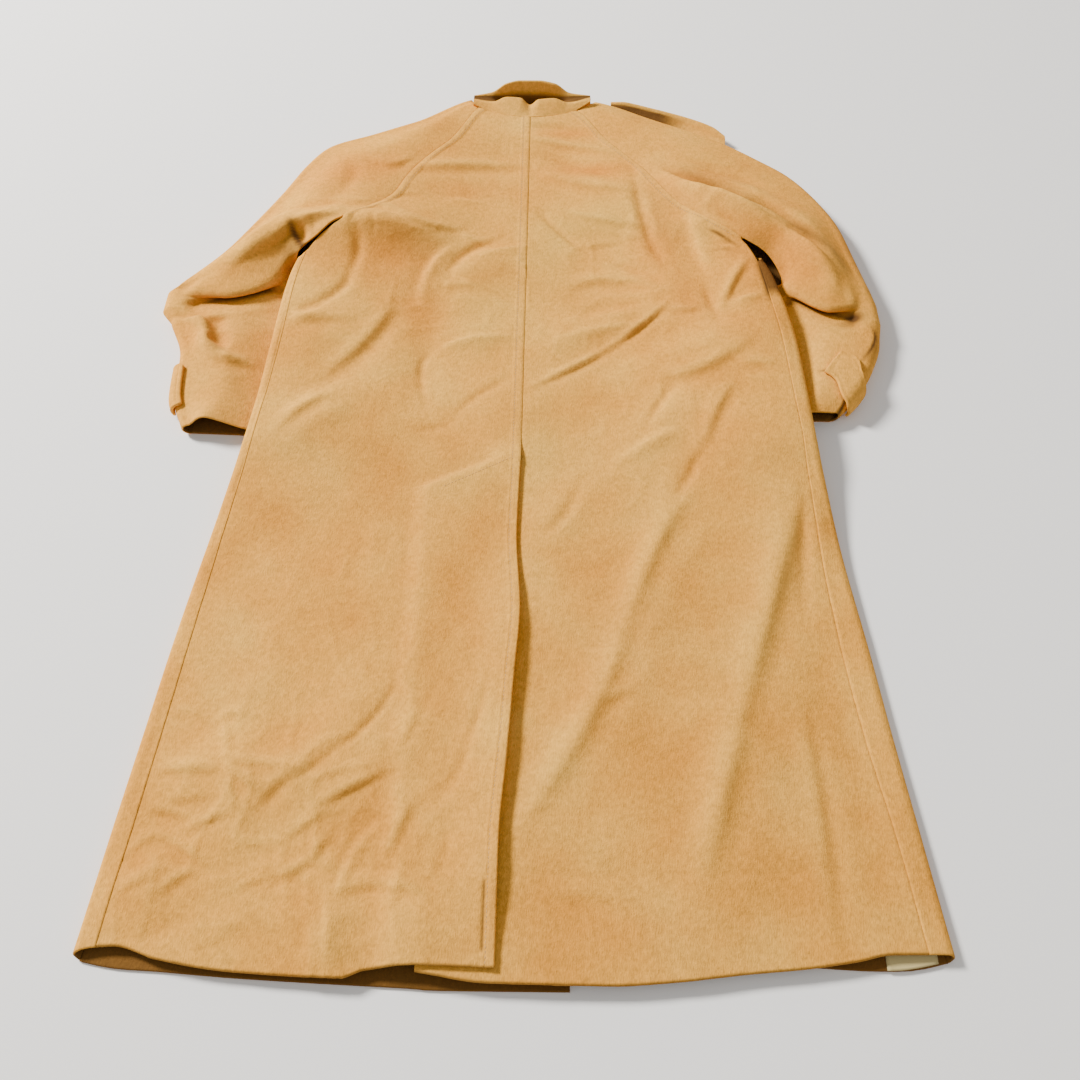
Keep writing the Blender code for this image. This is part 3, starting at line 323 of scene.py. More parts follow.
# Creases seen in the wool, a row each: it runs from x0 y0 through x1 y1 to x2 y2.  dip is
# how deep the hollow beside it is, for its height, and lies to the left of its path
# where it is above zero, and to the right where it is below.
CREASES = table(
    "x0 y0  x1 y1  x2 y2  wide high dip",
    # lower left
    (-28.4, 20.7, -27.9, 18.4, -27.2, 16.2, 0.51, 0.2, 0.9),
    (-29.3, 20.9, -28, 21.5, -26.4, 21.1, 0.51, 0.16, -0.9),
    (-34.3, 21.7, -32.7, 21.8, -31, 21.1, 0.59, 0.14, -0.9),
    (-34.8, 15.8, -31.1, 15.9, -27.8, 15.7, 0.68, 0.23, -1),
    (-27.2, 16.6, -24.2, 16.3, -19.9, 15.8, 0.51, 0.16, -0.9),
    (-27.1, 15.8, -25.8, 14.8, -24.1, 13.5, 0.51, 0.23, -1),
    (-27, 14.3, -26.5, 13.2, -26, 12.2, 0.51, 0.16, 0.9),
    (-11.9, 25.1, -14.2, 20.7, -17.7, 17.4, 0.47, -0.22, 0),
    (-17.3, 17.8, -18.8, 16.2, -20.3, 15, 0.47, -0.16, 0),
    (-20.6, 15.1, -22.2, 13.8, -23.9, 11.6, 0.68, -0.24, -0.4),
    (-34.2, 12.1, -32, 11.6, -29.6, 11, 0.51, 0.2, -1),
    (-33.5, 11.5, -32.3, 10.3, -30.6, 8.9, 0.51, -0.13, 0),
    (-32.2, 12.6, -30.6, 13, -28.5, 13.1, 0.51, 0.13, -0.9),
    (-30.4, 9.9, -28.6, 10.9, -26.3, 11.7, 0.51, 0.19, -1),
    (-37.1, 7, -34.8, 8.7, -32.6, 9.4, 0.68, 0.18, -0.5),
    (-32.7, 9.5, -30.2, 8.2, -27.6, 6.6, 0.51, 0.24, -1),
    (-28.5, 6.4, -30.2, 5.6, -31.6, 4.4, 0.51, 0.19, 0.9),
    (-37.5, 3.3, -34.5, 5, -31.5, 6.4, 0.59, 0.14, -0.8),
    (-25.2, 4.5, -23.4, 5.4, -22, 5.9, 0.42, 0.16, -0.8),
    (-22.1, 5.6, -19.9, 6.4, -18.1, 7.5, 0.51, 0.22, -1),
    (-18.4, 7.4, -17.8, 8.4, -17, 9.6, 0.51, 0.17, -1),
    (-20.5, 5.5, -19, 5, -17.5, 4.4, 0.59, -0.13, 0),
    (-16.5, 4, -16.1, 1.6, -15.8, -2, 0.42, 0.16, -0.8),
    (-15.3, 4.5, -12.9, 5.2, -9.5, 4.8, 0.51, 0.22, -1),
    (-10.3, 4.9, -8.7, 4.7, -7.2, 4, 0.42, 0.16, -0.8),
    (-15.4, 4.4, -15.2, 5.7, -14.7, 6.9, 0.42, 0.14, 0.8),
    (-15, 6.5, -13.8, 8.9, -12, 10.8, 0.51, 0.16, 0.8),
    (-9.6, 12.4, -10.7, 9.9, -11.9, 6.2, 0.77, 0.23, 0.9),
    (-2.7, 24.9, -3.4, 21.5, -4.4, 18.4, 0.51, -0.2, 0),
    (-4.4, 18.4, -5, 15.9, -6.7, 13.2, 0.59, -0.16, 0),
    (-7.8, 24.4, -8.9, 21.8, -10.9, 16.6, 0.59, -0.1, 0),
    (-12.1, 15.8, -15.4, 14.1, -18.3, 12.3, 0.51, 0.23, 0.9),
    (-17.1, 11.8, -19.1, 10.7, -20.9, 9.4, 0.51, 0.17, 0.9),
    (-8.1, 6.1, -6.6, 5.5, -5.6, 4.2, 0.42, 0.13, -0.8),
    (-5.4, 10.3, -5.8, 8.3, -6, 6.3, 0.59, -0.11, 0),
    (-18.3, 3.3, -18.1, 1.1, -18.1, -0.7, 0.68, -0.09, 0),
    (-33.5, 0.3, -30.8, 0.8, -28.8, 2.3, 1.19, -0.14, 0),
    (-26, -0.3, -22.9, 0.6, -20.7, -1.2, 1.02, -0.14, 0),
    # upper left
    (-16.0, 102.7, -9.5, 103.4, -0.9, 103.8, 0.9, 0.36, -1),
    (-25.0, 93.8, -19.6, 93.3, -16.1, 91.4, 0.9, 0.32, -0.9),
    (-16.6, 91.7, -13.1, 90.4, -9.3, 91.1, 0.8, 0.32, -0.9),
    (-20.6, 94.3, -17.4, 96.2, -14.4, 96.4, 0.6, -0.15, 0),
    (-11.1, 96.3, -9.0, 96.7, -6.6, 96.3, 0.7, 0.2, 0.7),
    (-10.1, 83.2, -7.6, 87.0, -3.1, 89.8, 0.8, -0.36, 0),
    (-9.4, 90.9, -7.1, 88.9, -4.2, 89.4, 0.6, 0.24, -0.5),
    (-13.4, 77.2, -12.5, 83.5, -9.6, 87.4, 0.9, 0.3, 0.6),
    (-6.2, 86.3, -3.4, 87.4, -0.5, 88.1, 0.6, 0.22, 0.7),
    (-11.0, 80.6, -8.6, 81.0, -5.8, 80.5, 0.6, 0.2, -0.7),
    (-5.8, 80.5, -3.2, 79.3, -0.5, 77.4, 0.5, -0.2, 0),
    (-17.3, 76.6, -20.0, 70.7, -24.7, 64.5, 1.1, 0.36, 1),
    (-23.0, 61.5, -25.7, 59.6, -28.3, 56.3, 0.9, 0.32, 1),
    (-11.5, 69.0, -12.6, 66.9, -11.6, 60.8, 0.7, -0.26, 0),
    (-10.4, 70.0, -7.3, 71.4, -1.7, 72.0, 0.6, 0.28, 0.7),
    (-8.1, 59.6, -5.3, 62.7, -1.4, 65.4, 0.7, -0.2, 0),
    (-12.2, 57.3, -10.1, 57.6, -8.4, 58.5, 0.6, -0.15, 0),
    (-29.9, 73.5, -25.9, 73.7, -21.9, 74.3, 0.9, 0.24, -0.8),
    # left pit
    (-23.5, 90.6, -22.1, 86.2, -22.8, 82.1, 0.9, -0.4, 0),
    (-22.8, 82.1, -23.9, 78.6, -27.6, 75.4, 0.9, -0.36, 0),
    (-20.4, 90.9, -20.3, 89.1, -20.2, 87.6, 0.5, -0.15, 0),
    (-29.4, 74.2, -27.4, 74.0, -25.1, 75.3, 0.8, 0.28, 0.8),
    # upper right
    (-0.3, 111.5, 4.4, 111.6, 9.3, 109.4, 0.9, -0.3, 0),
    (0.0, 109.3, 5.1, 108.0, 12.9, 105.7, 0.7, 0.28, -1),
    (1.5, 106.2, 7.2, 103.2, 13.6, 100.5, 1.2, -0.3, 0),
    (1.3, 102.7, 6.8, 99.8, 14.5, 97.6, 0.8, 0.32, -0.6),
    (4.4, 95.2, 9.3, 92.9, 15.4, 91.5, 0.7, 0.28, -0.8),
    (1.7, 94.8, 4.7, 90.8, 8.3, 87.4, 0.6, -0.34, 0),
    (7.8, 88.3, 9.9, 88.7, 12.3, 88.8, 0.6, 0.18, -0.7),
    (10.8, 86.1, 13.6, 83.9, 17.0, 82.3, 0.7, -0.18, 0),
    (6.3, 81.2, 11.2, 82.2, 17.6, 79.7, 0.9, 0.32, -1),
    (6.1, 75.5, 11.1, 77.0, 16.9, 77.9, 1.4, -0.3, 0),
    (4.5, 71.6, 9.5, 73.3, 14.6, 74.1, 0.8, 0.22, 0.6),
    (17.9, 77.2, 14.6, 73.9, 10.7, 70.5, 0.5, 0.32, 1),
    (10.9, 70.6, 6.3, 67.3, 1.3, 64.2, 0.5, 0.28, 1),
    (17.9, 76.9, 20.0, 76.0, 22.6, 76.6, 0.5, 0.2, -0.8),
    (16.0, 65.2, 21.6, 66.2, 27.3, 70.0, 1, 0.28, -0.8),
    (26.2, 66.6, 28.4, 66.8, 30.8, 66.0, 0.8, 0.25, -0.9),
    (18.3, 64.3, 16.6, 61.1, 14.4, 57.3, 0.8, -0.28, 0),
    (25.1, 63.4, 22.9, 59.7, 20.7, 53.8, 0.9, 0.28, 0.8),
    (18.2, 56.9, 15.0, 55.4, 11.7, 52.9, 0.9, 0.3, -0.6),
    # right trough
    (14.6, 101.5, 15.9, 92.2, 18.2, 83.8, 1, -0.38, 0),
    (22.2, 95.1, 22.7, 89.2, 24.3, 82.4, 0.9, 0.3, -0.7),
    (23.1, 80.3, 23.7, 77.4, 24.4, 73.6, 0.8, -0.3, 0),
    (28.8, 84.4, 26.8, 80.8, 25.0, 76.7, 0.7, 0.36, 0.8),
    (26.4, 76.9, 28.0, 77.5, 29.9, 78.2, 0.7, 0.26, 0.8),
    (23.5, 91.2, 24.1, 93.5, 26.0, 93.8, 0.6, 0.3, 0),
    (24.8, 91.6, 26.3, 91.2, 27.9, 89.1, 0.5, -0.4, 0),
    (24.7, 88.5, 25.9, 87.7, 27.5, 87.9, 0.5, -0.2, 0),
    # lower right
    (18.4, 47.7, 14.6, 40.4, 11.3, 31.4, 1.3, 0.34, 0.9),
    (11.3, 31.4, 7.8, 22.1, 1.0, 10.6, 1.3, 0.32, 0.9),
    (31.7, 48.1, 27.1, 35.0, 22.7, 21.9, 1.4, 0.36, 0.9),
    (22.7, 21.9, 20.0, 13.3, 17.9, 6.2, 1.4, 0.32, 0.9),
    (32.0, 49.2, 31.2, 40.0, 30.5, 32.4, 1, -0.2, 0),
    (29.7, 22.8, 30.1, 13.5, 29.9, 0.8, 0.9, -0.22, -0.6),
    (7.3, 50.5, 5.2, 45.6, 3.0, 43.2, 0.9, -0.24, 0),
    (21.3, 55.0, 19.3, 50.7, 17.5, 47.4, 0.9, -0.26, 0),
    (9.0, 23.1, 10.2, 23.8, 11.5, 24.5, 0.6, 0.16, -0.8),
    (17.8, 25.6, 23.6, 23.0, 30.3, 13.5, 2, -0.15, 0),
    (4.5, 4.3, 7.4, 4.6, 10.3, 4.0, 0.7, 0.14, -0.8),
)
# Creases on the sleeves only, read the same way
SLEEVE_CREASES = table(
    "x0 y0  x1 y1  x2 y2  wide high dip",
    (-22.1, 104.3, -19.4, 102.8, -16.6, 104.6, 0.8, 0.26, -1),
    (-26.0, 104.2, -24.3, 99.5, -26.7, 93.8, 1.6, -0.3, 0),
    (-32.9, 92.3, -28.5, 92.5, -24.5, 93.4, 0.8, -0.22, 0),
    (18.5, 101.6, 22.1, 97.2, 26.4, 94.7, 0.8, 0.45, 1),
    (26.0, 94.9, 31.1, 92.1, 36.3, 88.7, 0.8, 0.4, 1),
    (20.0, 104.2, 25.5, 102.7, 30.9, 101.3, 0.7, -0.26, 0),
    (24.3, 99.3, 30.2, 96.3, 36.6, 91.4, 0.8, -0.2, 0),
    (-24.1, 90.2, -29.9, 89.1, -34.4, 85.4, 1.0, 0.45, 0.8),
    (-34.5, 85.8, -37.4, 82.4, -42.3, 77.5, 1.0, 0.45, 0.8),
    (-30.1, 87.9, -34.3, 84.7, -39.6, 79.5, 0.35, -0.2, 0),
    (-30.6, 89.4, -29.1, 85.9, -28.0, 81.9, 1.0, -0.8, 0),
    (-45.4, 75.6, -41.5, 74.3, -39.6, 71.4, 1.1, 1.1, 0.9),
    (-39.8, 72.1, -39.1, 69.6, -36.8, 68.0, 1.1, 0.9, 0.9),
    (-38.0, 67.5, -35.8, 67.2, -33.6, 66.9, 0.7, 0.5, -0.6),
    (19.3, 101.0, 24.7, 97.3, 29.4, 95.1, 1.5, -1.0, 0),
    (29.3, 94.9, 34.1, 91.9, 38.5, 86.2, 1.6, -1.1, 0),
    (21.5, 97.0, 27.8, 92.6, 33.7, 88.3, 1.0, 1.15, 0.6),
    (33.7, 88.3, 37.5, 83.6, 40.5, 78.6, 1.0, 1.15, 0.6),
    (22.4, 101.3, 28.6, 100.5, 35.6, 95.6, 1.2, -0.35, 0),
    (32.2, 83.1, 33.7, 79.0, 34.6, 76.4, 1.2, -0.25, 0),
)
# Soft patches: above zero a warmer orange, painted shade in folds and on shaded slopes; below zero a more
# olive tone, which also paints the collar's shaded band paler
SHADE_AND_OLIVE_PATCHES = table(
    "x y wide tall warm",
    (-25.6, 100.9, 7.0, 4.0, 1.00),
    (-18.9, 103.1, 4.0, 2.5, 0.50),
    (-8.1, 98.6, 7.0, 2.0, 0.70),
    (-16.7, 85.6, 6.0, 5.0, 1.00),
    (-13.5, 77.0, 4.0, 4.0, 0.80),
    (-26.8, 83.8, 3.0, 4.0, 0.30),
    (4.4, 110.4, 5.0, 1.2, 0.90),
    (8.6, 102.3, 7.0, 1.8, 1.00),
    (17.2, 90.3, 3.5, 8.0, 1.00),
    (21.0, 77.4, 3.0, 4.0, 0.80),
    (26.4, 72.8, 3.0, 3.0, 0.60),
    (23.7, 99.3, 5.0, 2.0, 0.80),
    (35.5, 94.3, 5.0, 2.0, 0.50),
    (33.6, 83.7, 6.0, 5.0, 1.00),
    (9.8, 92.7, 8.0, 4.0, -0.80),
    (-5.8, 76.3, 7.0, 6.0, -0.70),
    (3.1, 85.5, 4.0, 6.0, -0.60),
    (-4.3, 109.5, 8.0, 4.0, -0.30),
    (22.1, 56.0, 6.0, 6.0, 0.50),
    (12.9, 30.1, 5.0, 8.0, 0.35),
    (2.2, 55.8, 3.0, 6.0, -0.60),
    (-5.7, 50.0, 5.0, 4.0, -0.40),
    (10.0, 1.5, 8.0, 2.0, 0.30),
    (-23.7, 39.2, 8.0, 8.0, 0.25),
    (-36.7, 71.4, 5.0, 4.0, 0.50),
    (0.0, 118.7, 8.0, 2.0, -1.0),
    (20.0, 118.6, 9.0, 2.2, -1.0),
)

# Deep folds that little light reaches: soft round patches, then lines, whose last column
# isn't used to give them a hollow beside them
DARKS = table(
    "x y wide tall dark",
    (-31.3, 84.8, 1.6, 2, 0.32),
    (-32.6, 82.2, 3, 1.6, 0.2),
    (-29.9, 81.9, 1.4, 1.6, 0.36),
    (41.8, 75.2, 1.2, 1, 0.95),
    (40.3, 74, 1.4, 0.8, 0.4),
    (-38.1, 68.7, 1.2, 0.6, 0.25),
)
DARK_LINES = table(
    "x0 y0  x1 y1  x2 y2  wide dark dip",
    (-31.5, 89.2, -29.8, 86.2, -28.2, 84.0, 0.7, 1.1, 0),
    (-28.3, 84.5, -28.8, 81.7, -29.1, 78.8, 0.8, 0.45, 0),
    (-30.8, 89.0, -31.3, 85.9, -30.5, 81.8, 1.4, 0.25, 0),
    (-28.6, 89.5, -28.3, 88.2, -28.3, 86.6, 0.22, 0.5, 0),
    (36.1, 66.3, 37.5, 65.7, 38.3, 63.7, 0.3, 1.1, 0),
    (38.3, 64.0, 38.6, 61.8, 36.8, 59.2, 0.3, 1.2, 0),
    (43.3, 73.6, 43.7, 71.4, 41.6, 68.1, 0.3, 1.1, 0),
    (44.0, 71.0, 43.0, 69.1, 41.8, 67.8, 0.6, 0.4, 0),
    (24.2, 89.9, 25.7, 89.0, 28.0, 86.9, 0.35, 0.9, 0),
    (24.3, 86.5, 26.0, 86.6, 27.7, 85.8, 0.35, 0.4, 0),
    (30.0, 84.4, 30.9, 80.4, 31.0, 77.2, 0.7, 1.2, 0),
    (-42.3, 65.2, -41.7, 63.5, -41.4, 61.7, 0.25, 0.9, 0),
    (-35.8, 66.9, -34.7, 63.2, -33.9, 60.2, 1.2, 0.14, 0),
    (-40.4, 74.2, -38.9, 70.1, -37.2, 68.2, 0.9, 0.12, 0),
    (20.2, 102.1, 25.1, 97.5, 32.3, 93.0, 1.5, 0.55, 0),
    (32.3, 93.0, 36.9, 88.8, 40.7, 82.6, 1.4, 0.6, 0),
)
# Where the wool is crumpled all over, between its main creases
CRUMPLED = table(
    "x y wide tall strong",
    (-22.0, 9.0, 16.0, 15.0, 1.00),
    (-18.0, 36.0, 12.0, 12.0, 0.35),
    (-14.0, 76.0, 13.0, 16.0, 0.50),
    (10.0, 84.0, 12.0, 18.0, 0.50),
    (18.0, 58.0, 12.0, 14.0, 0.45),
    (14.0, 24.0, 16.0, 22.0, 0.35),
    (-32.0, 92.0, 12.0, 10.0, 0.50),
    (30.0, 96.0, 12.0, 8.0, 0.45),
)

# A seam's welt, in cm: width and height of the raised cloth, and how far its stitches lie
# from the seam
WELT = {"wide": 1.1, "high": 0.08, "raglan_high": 0.11, "stitch": 0.95}
WELT_DIP = 0.05  # depth of the dips along the seam and along the stitches
SEAM_LINE = 0.14  # half the width of a seam's line
STITCH_LINE = 0.13  # half the width of a stitched line
LINE_DARK = 0.22


def length_property(name, text, default):
    """A length in metres that a user can change."""
    return bpy.props.FloatProperty(name=name, description=text, default=default, unit="LENGTH")


def colour_property(name, text, default):
    """A colour as an sRGB hex text that a user can change."""
    return bpy.props.StringProperty(name=name, description=text, default=default)


class CoatSizes(bpy.types.PropertyGroup):
    """Sizes of the coat's details."""

    crease: bpy.props.FloatProperty(
        name="Crease Strength",
        description="Height of the creases for the seen height",
        default=1.0,
        min=0.0,
        max=3.0,
    )
    crumple: length_property("Crumple", "Height of the small soft ridges", 0.0017)
    wave: length_property("Cloth Wave", "Height of the cloth's soft unevenness", 0.0009)
    stitch_pitch: length_property("Stitch Pitch", "Distance from one stitch to the next", 0.0042)
    stitch_length: length_property("Stitch Length", "Length of thread that shows", 0.0034)
    thread: length_property("Thread Width", "Thickness of the sewing thread", 0.0008)


class CoatColours(bpy.types.PropertyGroup):
    """Colours of the cloth and the stage."""

    wool: colour_property("Wool", "Main colour of the wool", "#db9a3b")
    # wool_light also serves as the painted highlight that makes ridges paler
    wool_light: colour_property("Wool Light", "Paler patches and ridges", "#e2aa4b")
    # wool_deep also serves as the painted shade that makes hollows deeper
    wool_deep: colour_property("Wool Deep", "Deeper patches and hollows", "#c98228")
    # Painted shade: the warm orange of folds and shaded slopes
    wool_warm_shade: colour_property("Wool Warm", "Patches that look orange", "#cb761a")
    wool_shade: colour_property("Wool Shade", "Wool between the layers and in deep folds", "#57391a")
    wool_olive: colour_property("Wool Olive", "Patches that look olive", "#cba64c")
    # Painted shade: a darker copy of the wool for the panels that lie underneath
    under: colour_property("Wool Underside", "Wool of the panels underneath", "#b98439")
    # Partly painted shade: the lining's pale cream, darkened to how it looks in the shade under the hem
    lining: colour_property("Lining", "Smooth lining at the hem", "#c8b47a")
    thread: colour_property("Thread", "Sewing thread", "#c59a62")
    floor: colour_property("Floor", "Floor under the coat", "#f4f2ef")


def along(sections, name, at):
    """Read a column at any place between its rows, on a smooth curve that never overshoots."""
    place = next(iter(sections.values()))
    value = sections[name]
    if place[0] > place[-1]:
        place, value = place[::-1], value[::-1]
    step = np.diff(place)
    slope = np.diff(value) / step
    turn = np.concatenate([slope[:1], np.zeros(len(slope) - 1), slope[-1:]])
    rising = slope[:-1] * slope[1:] > 0
    safe = np.where(rising, slope[:-1] + slope[1:], 1.0)
    turn[1:-1] = np.where(rising, 2 * slope[:-1] * slope[1:] / safe, 0.0)
    at = np.clip(np.asarray(at, float), place[0], place[-1])
    i = np.clip(np.searchsorted(place, at, side="right") - 1, 0, len(place) - 2)
    t = (at - place[i]) / step[i]
    start = value[i] * (1 + 2 * t) * (1 - t) ** 2 + turn[i] * step[i] * t * (1 - t) ** 2
    end = value[i + 1] * t * t * (3 - 2 * t) + turn[i + 1] * step[i] * t * t * (t - 1)
    return start + end


def ease(share):
    """Go from 0 to 1 with a soft start and end."""
    share = np.clip(share, 0.0, 1.0)
    return share * share * (3 - 2 * share)


def between(value, start, rise, end, fall):
    """1 between two places and 0 outside them, with soft steps of given lengths."""
    return ease((value - start) / rise) * ease((end - value) / fall)


def hump(distance, size):
    """A smooth hump, 1 high at distance 0 and nearly flat at twice its size."""
    return np.exp(-((distance / size) ** 2))


def mix(low, high, share):
    """Go straight from one value to another."""
    return low + (high - low) * share


def steps(stops, longest):
    """Places from stop to stop, with no step longer than asked."""
    places = [stops[0]]
    for low, high in zip(stops, stops[1:]):
        count = int(np.ceil(abs(high - low) / longest - 1e-6))
        places += [low + (high - low) * (i + 1) / count for i in range(count)]
    return np.array(places)


def finer(grid, times, axis):
    """Put points between the rows of a grid, on a smooth curve through them."""
    rows = np.moveaxis(grid, axis, 0)
    rows = np.concatenate([2 * rows[:1] - rows[1:2], rows, 2 * rows[-1:] - rows[-2:-1]])
    before, here, there, after = (rows[i : len(rows) - 3 + i, None] for i in range(4))
    t = (np.arange(times) / times).reshape((1, times) + (1,) * (rows.ndim - 1))
    bend = 2 * before - 5 * here + 4 * there - after + t * (3 * (here - there) + after - before)
    between = here + 0.5 * t * (there - before + t * bend)
    between = between.reshape((-1,) + rows.shape[1:])
    return np.moveaxis(np.concatenate([between, rows[-2:-1]]), 0, axis)


def broad_height(x, y):
    """Height that the broad folds add at a place on the upper side."""
    total = np.zeros(np.broadcast(x, y).shape)
    for x0, y0, x1, y1, wide, high in zip(*FOLDS.values()):
        length = (x1 - x0) ** 2 + (y1 - y0) ** 2
        t = np.clip(((x - x0) * (x1 - x0) + (y - y0) * (y1 - y0)) / length, 0, 1)
        off = np.hypot(x - mix(x0, x1, t), y - mix(y0, y1, t))
        total = total + high * (0.35 + 0.65 * np.sin(np.pi * t)) * hump(off, wide)
    return total


CREASE_PARTS = 8  # straight parts that a crease's curve is measured along


def crease_height(x, y, creases):
    """Height that creases add, each a ridge that is steep towards the hollow beside it."""
    total = np.zeros(np.broadcast(x, y).shape)
    for x0, y0, x1, y1, x2, y2, wide, high, dip in zip(*creases.values()):
        t = np.linspace(0, 1, CREASE_PARTS + 1)
        bend_x, bend_y = 2 * x1 - (x0 + x2) / 2, 2 * y1 - (y0 + y2) / 2
        path_x = x0 * (1 - t) ** 2 + bend_x * 2 * t * (1 - t) + x2 * t * t
        path_y = y0 * (1 - t) ** 2 + bend_y * 2 * t * (1 - t) + y2 * t * t
        reach = 4.5 * wide
        near = (x > path_x.min() - reach) & (x < path_x.max() + reach)
        near = near & (y > path_y.min() - reach) & (y < path_y.max() + reach)
        if not near.any():
            continue
        px, py = np.broadcast_to(x, total.shape)[near], np.broadcast_to(y, total.shape)[near]
        best = np.full(px.shape, 1e9)
        side, place = np.zeros(px.shape), np.zeros(px.shape)
        for i in range(CREASE_PARTS):
            dx, dy = path_x[i + 1] - path_x[i], path_y[i + 1] - path_y[i]
            part = np.clip(((px - path_x[i]) * dx + (py - path_y[i]) * dy) / (dx * dx + dy * dy), 0, 1)
            off_x, off_y = px - path_x[i] - part * dx, py - path_y[i] - part * dy
            off = np.hypot(off_x, off_y)
            closer = off < best
            best = np.where(closer, off, best)
            side = np.where(closer, (dx * off_y - dy * off_x) / np.hypot(dx, dy), side)
            place = np.where(closer, (i + part) / CREASE_PARTS, place)
        fade = np.sin(np.pi * np.clip(place, 0.04, 0.96)) ** 0.6
        steep = mix(1.2, 0.6, side * np.sign(dip) > 0) if dip else 0.75
        ridge = hump(best, steep * wide)
        beside = hump(side - np.sign(dip) * 1.3 * wide, wide)
        beside = beside * hump(np.maximum(best - np.abs(side), 0), wide)
        total[near] += high * fade * (ridge - 0.6 * abs(dip) * beside)
    return total


CRUMPLE_NET = 3.2  # distance between the small ridges, cm
CRUMPLE_WIDE = 0.40  # share of it that a ridge takes up
# Soft unevenness of the cloth: size in cm, seed and share of the height
WAVES = ((7.0, 3, 1.0), (2.9, 4, 0.45), (1.3, 6, 0.16))
KNOTS = (64, 96)  # random heights across and up, which ripples run through


def ripple(x, y, size, seed):
    """Smooth uneven height from -1 to 1, with features of a given size."""
    rng = np.random.default_rng(seed)
    knots = rng.uniform(-1, 1, KNOTS)
    u, v = np.broadcast_arrays(np.asarray(x) / size + 30.3, np.asarray(y) / size + 10.7)
    i, j = np.floor(u).astype(int), np.floor(v).astype(int)
    fu, fv = ease(u - i), ease(v - j)
    i, j = i % (KNOTS[0] - 1), j % (KNOTS[1] - 1)
    low = mix(knots[i, j], knots[i + 1, j], fu)
    high = mix(knots[i, j + 1], knots[i + 1, j + 1], fu)
    return mix(low, high, fv)


def crumple(x, y):
    """Height of the small soft ridges, joined in a net, where the wool is crumpled."""
    bent = 1.6 * ripple(x, y, 6.5, 11)
    line = 1 - np.abs(ripple(x + bent, y + 0.7 * bent, CRUMPLE_NET, 12)) / CRUMPLE_WIDE
    return np.clip(line, 0, 1) ** 2 * patches(x, y, CRUMPLED)


def relief(x, y, off_seam):
    """All the folds, creases and unevenness at a place on the upper side."""
    sizes = bpy.context.scene.coat_sizes
    wave = sizes.wave / CM
    soft = wave * sum(share * ripple(x, y, size, seed) for size, seed, share in WAVES)
    creases = sizes.crease * crease_height(x, y, CREASES) + sizes.crumple / CM * crumple(x, y)
    return broad_height(x, y) + creases * ease(off_seam / 1.6) + soft


def patches(x, y, places):
    """The sum, from -1 to 1, of soft round patches at a place."""
    total = np.zeros(np.broadcast(x, y).shape)
    for x0, y0, wide, tall, strength in zip(*places.values()):
        total = total + strength * np.exp(-(((x - x0) / wide) ** 2) - ((y - y0) / tall) ** 2)
    return np.clip(total, -1, 1)


def neck_rise(x, up):
    """The back neck seam is a shallow curve, higher at the shoulders."""
    bow = NECK_RISE * np.minimum(np.abs(x) / NECK_HALF, 1.0) ** 2
    return bow * ease((up - NECK_CURVE_START) / (BACK_LENGTH - NECK_CURVE_START))


def seam_point(side, up):
    """Place across and height of a back panel's outer seam: side seam, then raglan."""
    sleeve = SLEEVES[side]
    above = ease((up - UNDERARM[side] + 1.4) / 1.4)
    held = np.maximum(up, UNDERARM[side])
    x = mix(along(BODY, "seam_" + side, up), along(sleeve, "in_x", held), above)
    z = mix(along(BODY, "seam_high_" + side, up), along(sleeve, "in_z", held), above)
    return x, z


def hem_shift(side, x, up, layer):
    """How far a ring near the hem is pulled to the hem's own curve; layer 0 is the front."""
    hem = HEMS[side]
    shift = mix(along(hem, "front", x), along(hem, "back", x), layer)
    return shift * ease(1 - up / HEM_BLEND)


def back_ends(side, up):
    """Where a back panel starts at the centre and ends at its outer seam."""
    x_out, z_out = seam_point(side, up)
    sign = SIDES[side]
    x_out = x_out - sign * SEAM_GAP / 2
    reach = UNDERLAP * np.clip((VENT_TOP - up) / VENT_SLANT, 0, 1)
    centre = sign * SEAM_GAP / 2
    if side == "left":
        x_in = mix(centre, along(VENT_EDGE, "across", up), ease((VENT_TOP - up) / 0.2))
    else:
        x_in = centre - reach
    return x_in, x_out, z_out, reach


def back_point(side, up, share):
    """A point of a back panel's outer face; share runs from the centre to the outer seam."""
    x_in, x_out, z_out, reach = back_ends(side, up)
    x = mix(x_in, x_out, share)
    y = up + hem_shift(side, x, up, 1.0) + neck_rise(x, up)
    z = mix(along(BODY, "mid_high", up), z_out, ease((np.abs(x / x_out) - FLAT_SHARE) / (1 - FLAT_SHARE)))
    z = z + relief(x, y, np.abs(x_out - x))
    if side == "left":
        over_lap = ease((x + reach + UNDERLAP_EASE + UNDERLAP_STEP) / UNDERLAP_STEP)
        below_top = ease((LAP_ROW - up) / (LAP_ROW - VENT_TOP))
        z = z + (CLOTH + LAYER_GAP) * over_lap * below_top
        near_edge = ease((x - x_in + VENT_LIFT_WIDE) / VENT_LIFT_WIDE)
        z = z + VENT_LIFT * near_edge * between(up, 1.0, 7.0, 42.0, 14.0)
    return np.stack([x, y, z], -1)


def unit(vectors):
    """Vectors of length one."""
    return vectors / np.linalg.norm(vectors, axis=-1, keepdims=True)


def outward(grid):
    """Normals of a grid of points, to the left of its rows and towards the outer face."""
    across = np.gradient(grid, axis=1)
    down = np.gradient(grid, axis=0)
    return unit(np.cross(across, down))


def upright(normals):
    """Normals for the edge of a piece at a flat seam, so that both walls end upright."""
    lean = np.maximum(np.abs(normals[..., 2:]), 0.6)
    return np.concatenate([np.zeros_like(normals[..., :2]), np.sign(normals[..., 2:]) / lean], -1)


def rim(distance, size=RIM):
    """How far a face sinks towards the middle of the cloth near a free edge."""
    share = 1 - np.clip(distance / size, 0, 1)
    return RIM_DEEP * (1 - np.sqrt(np.maximum(1 - share**2, 0)))


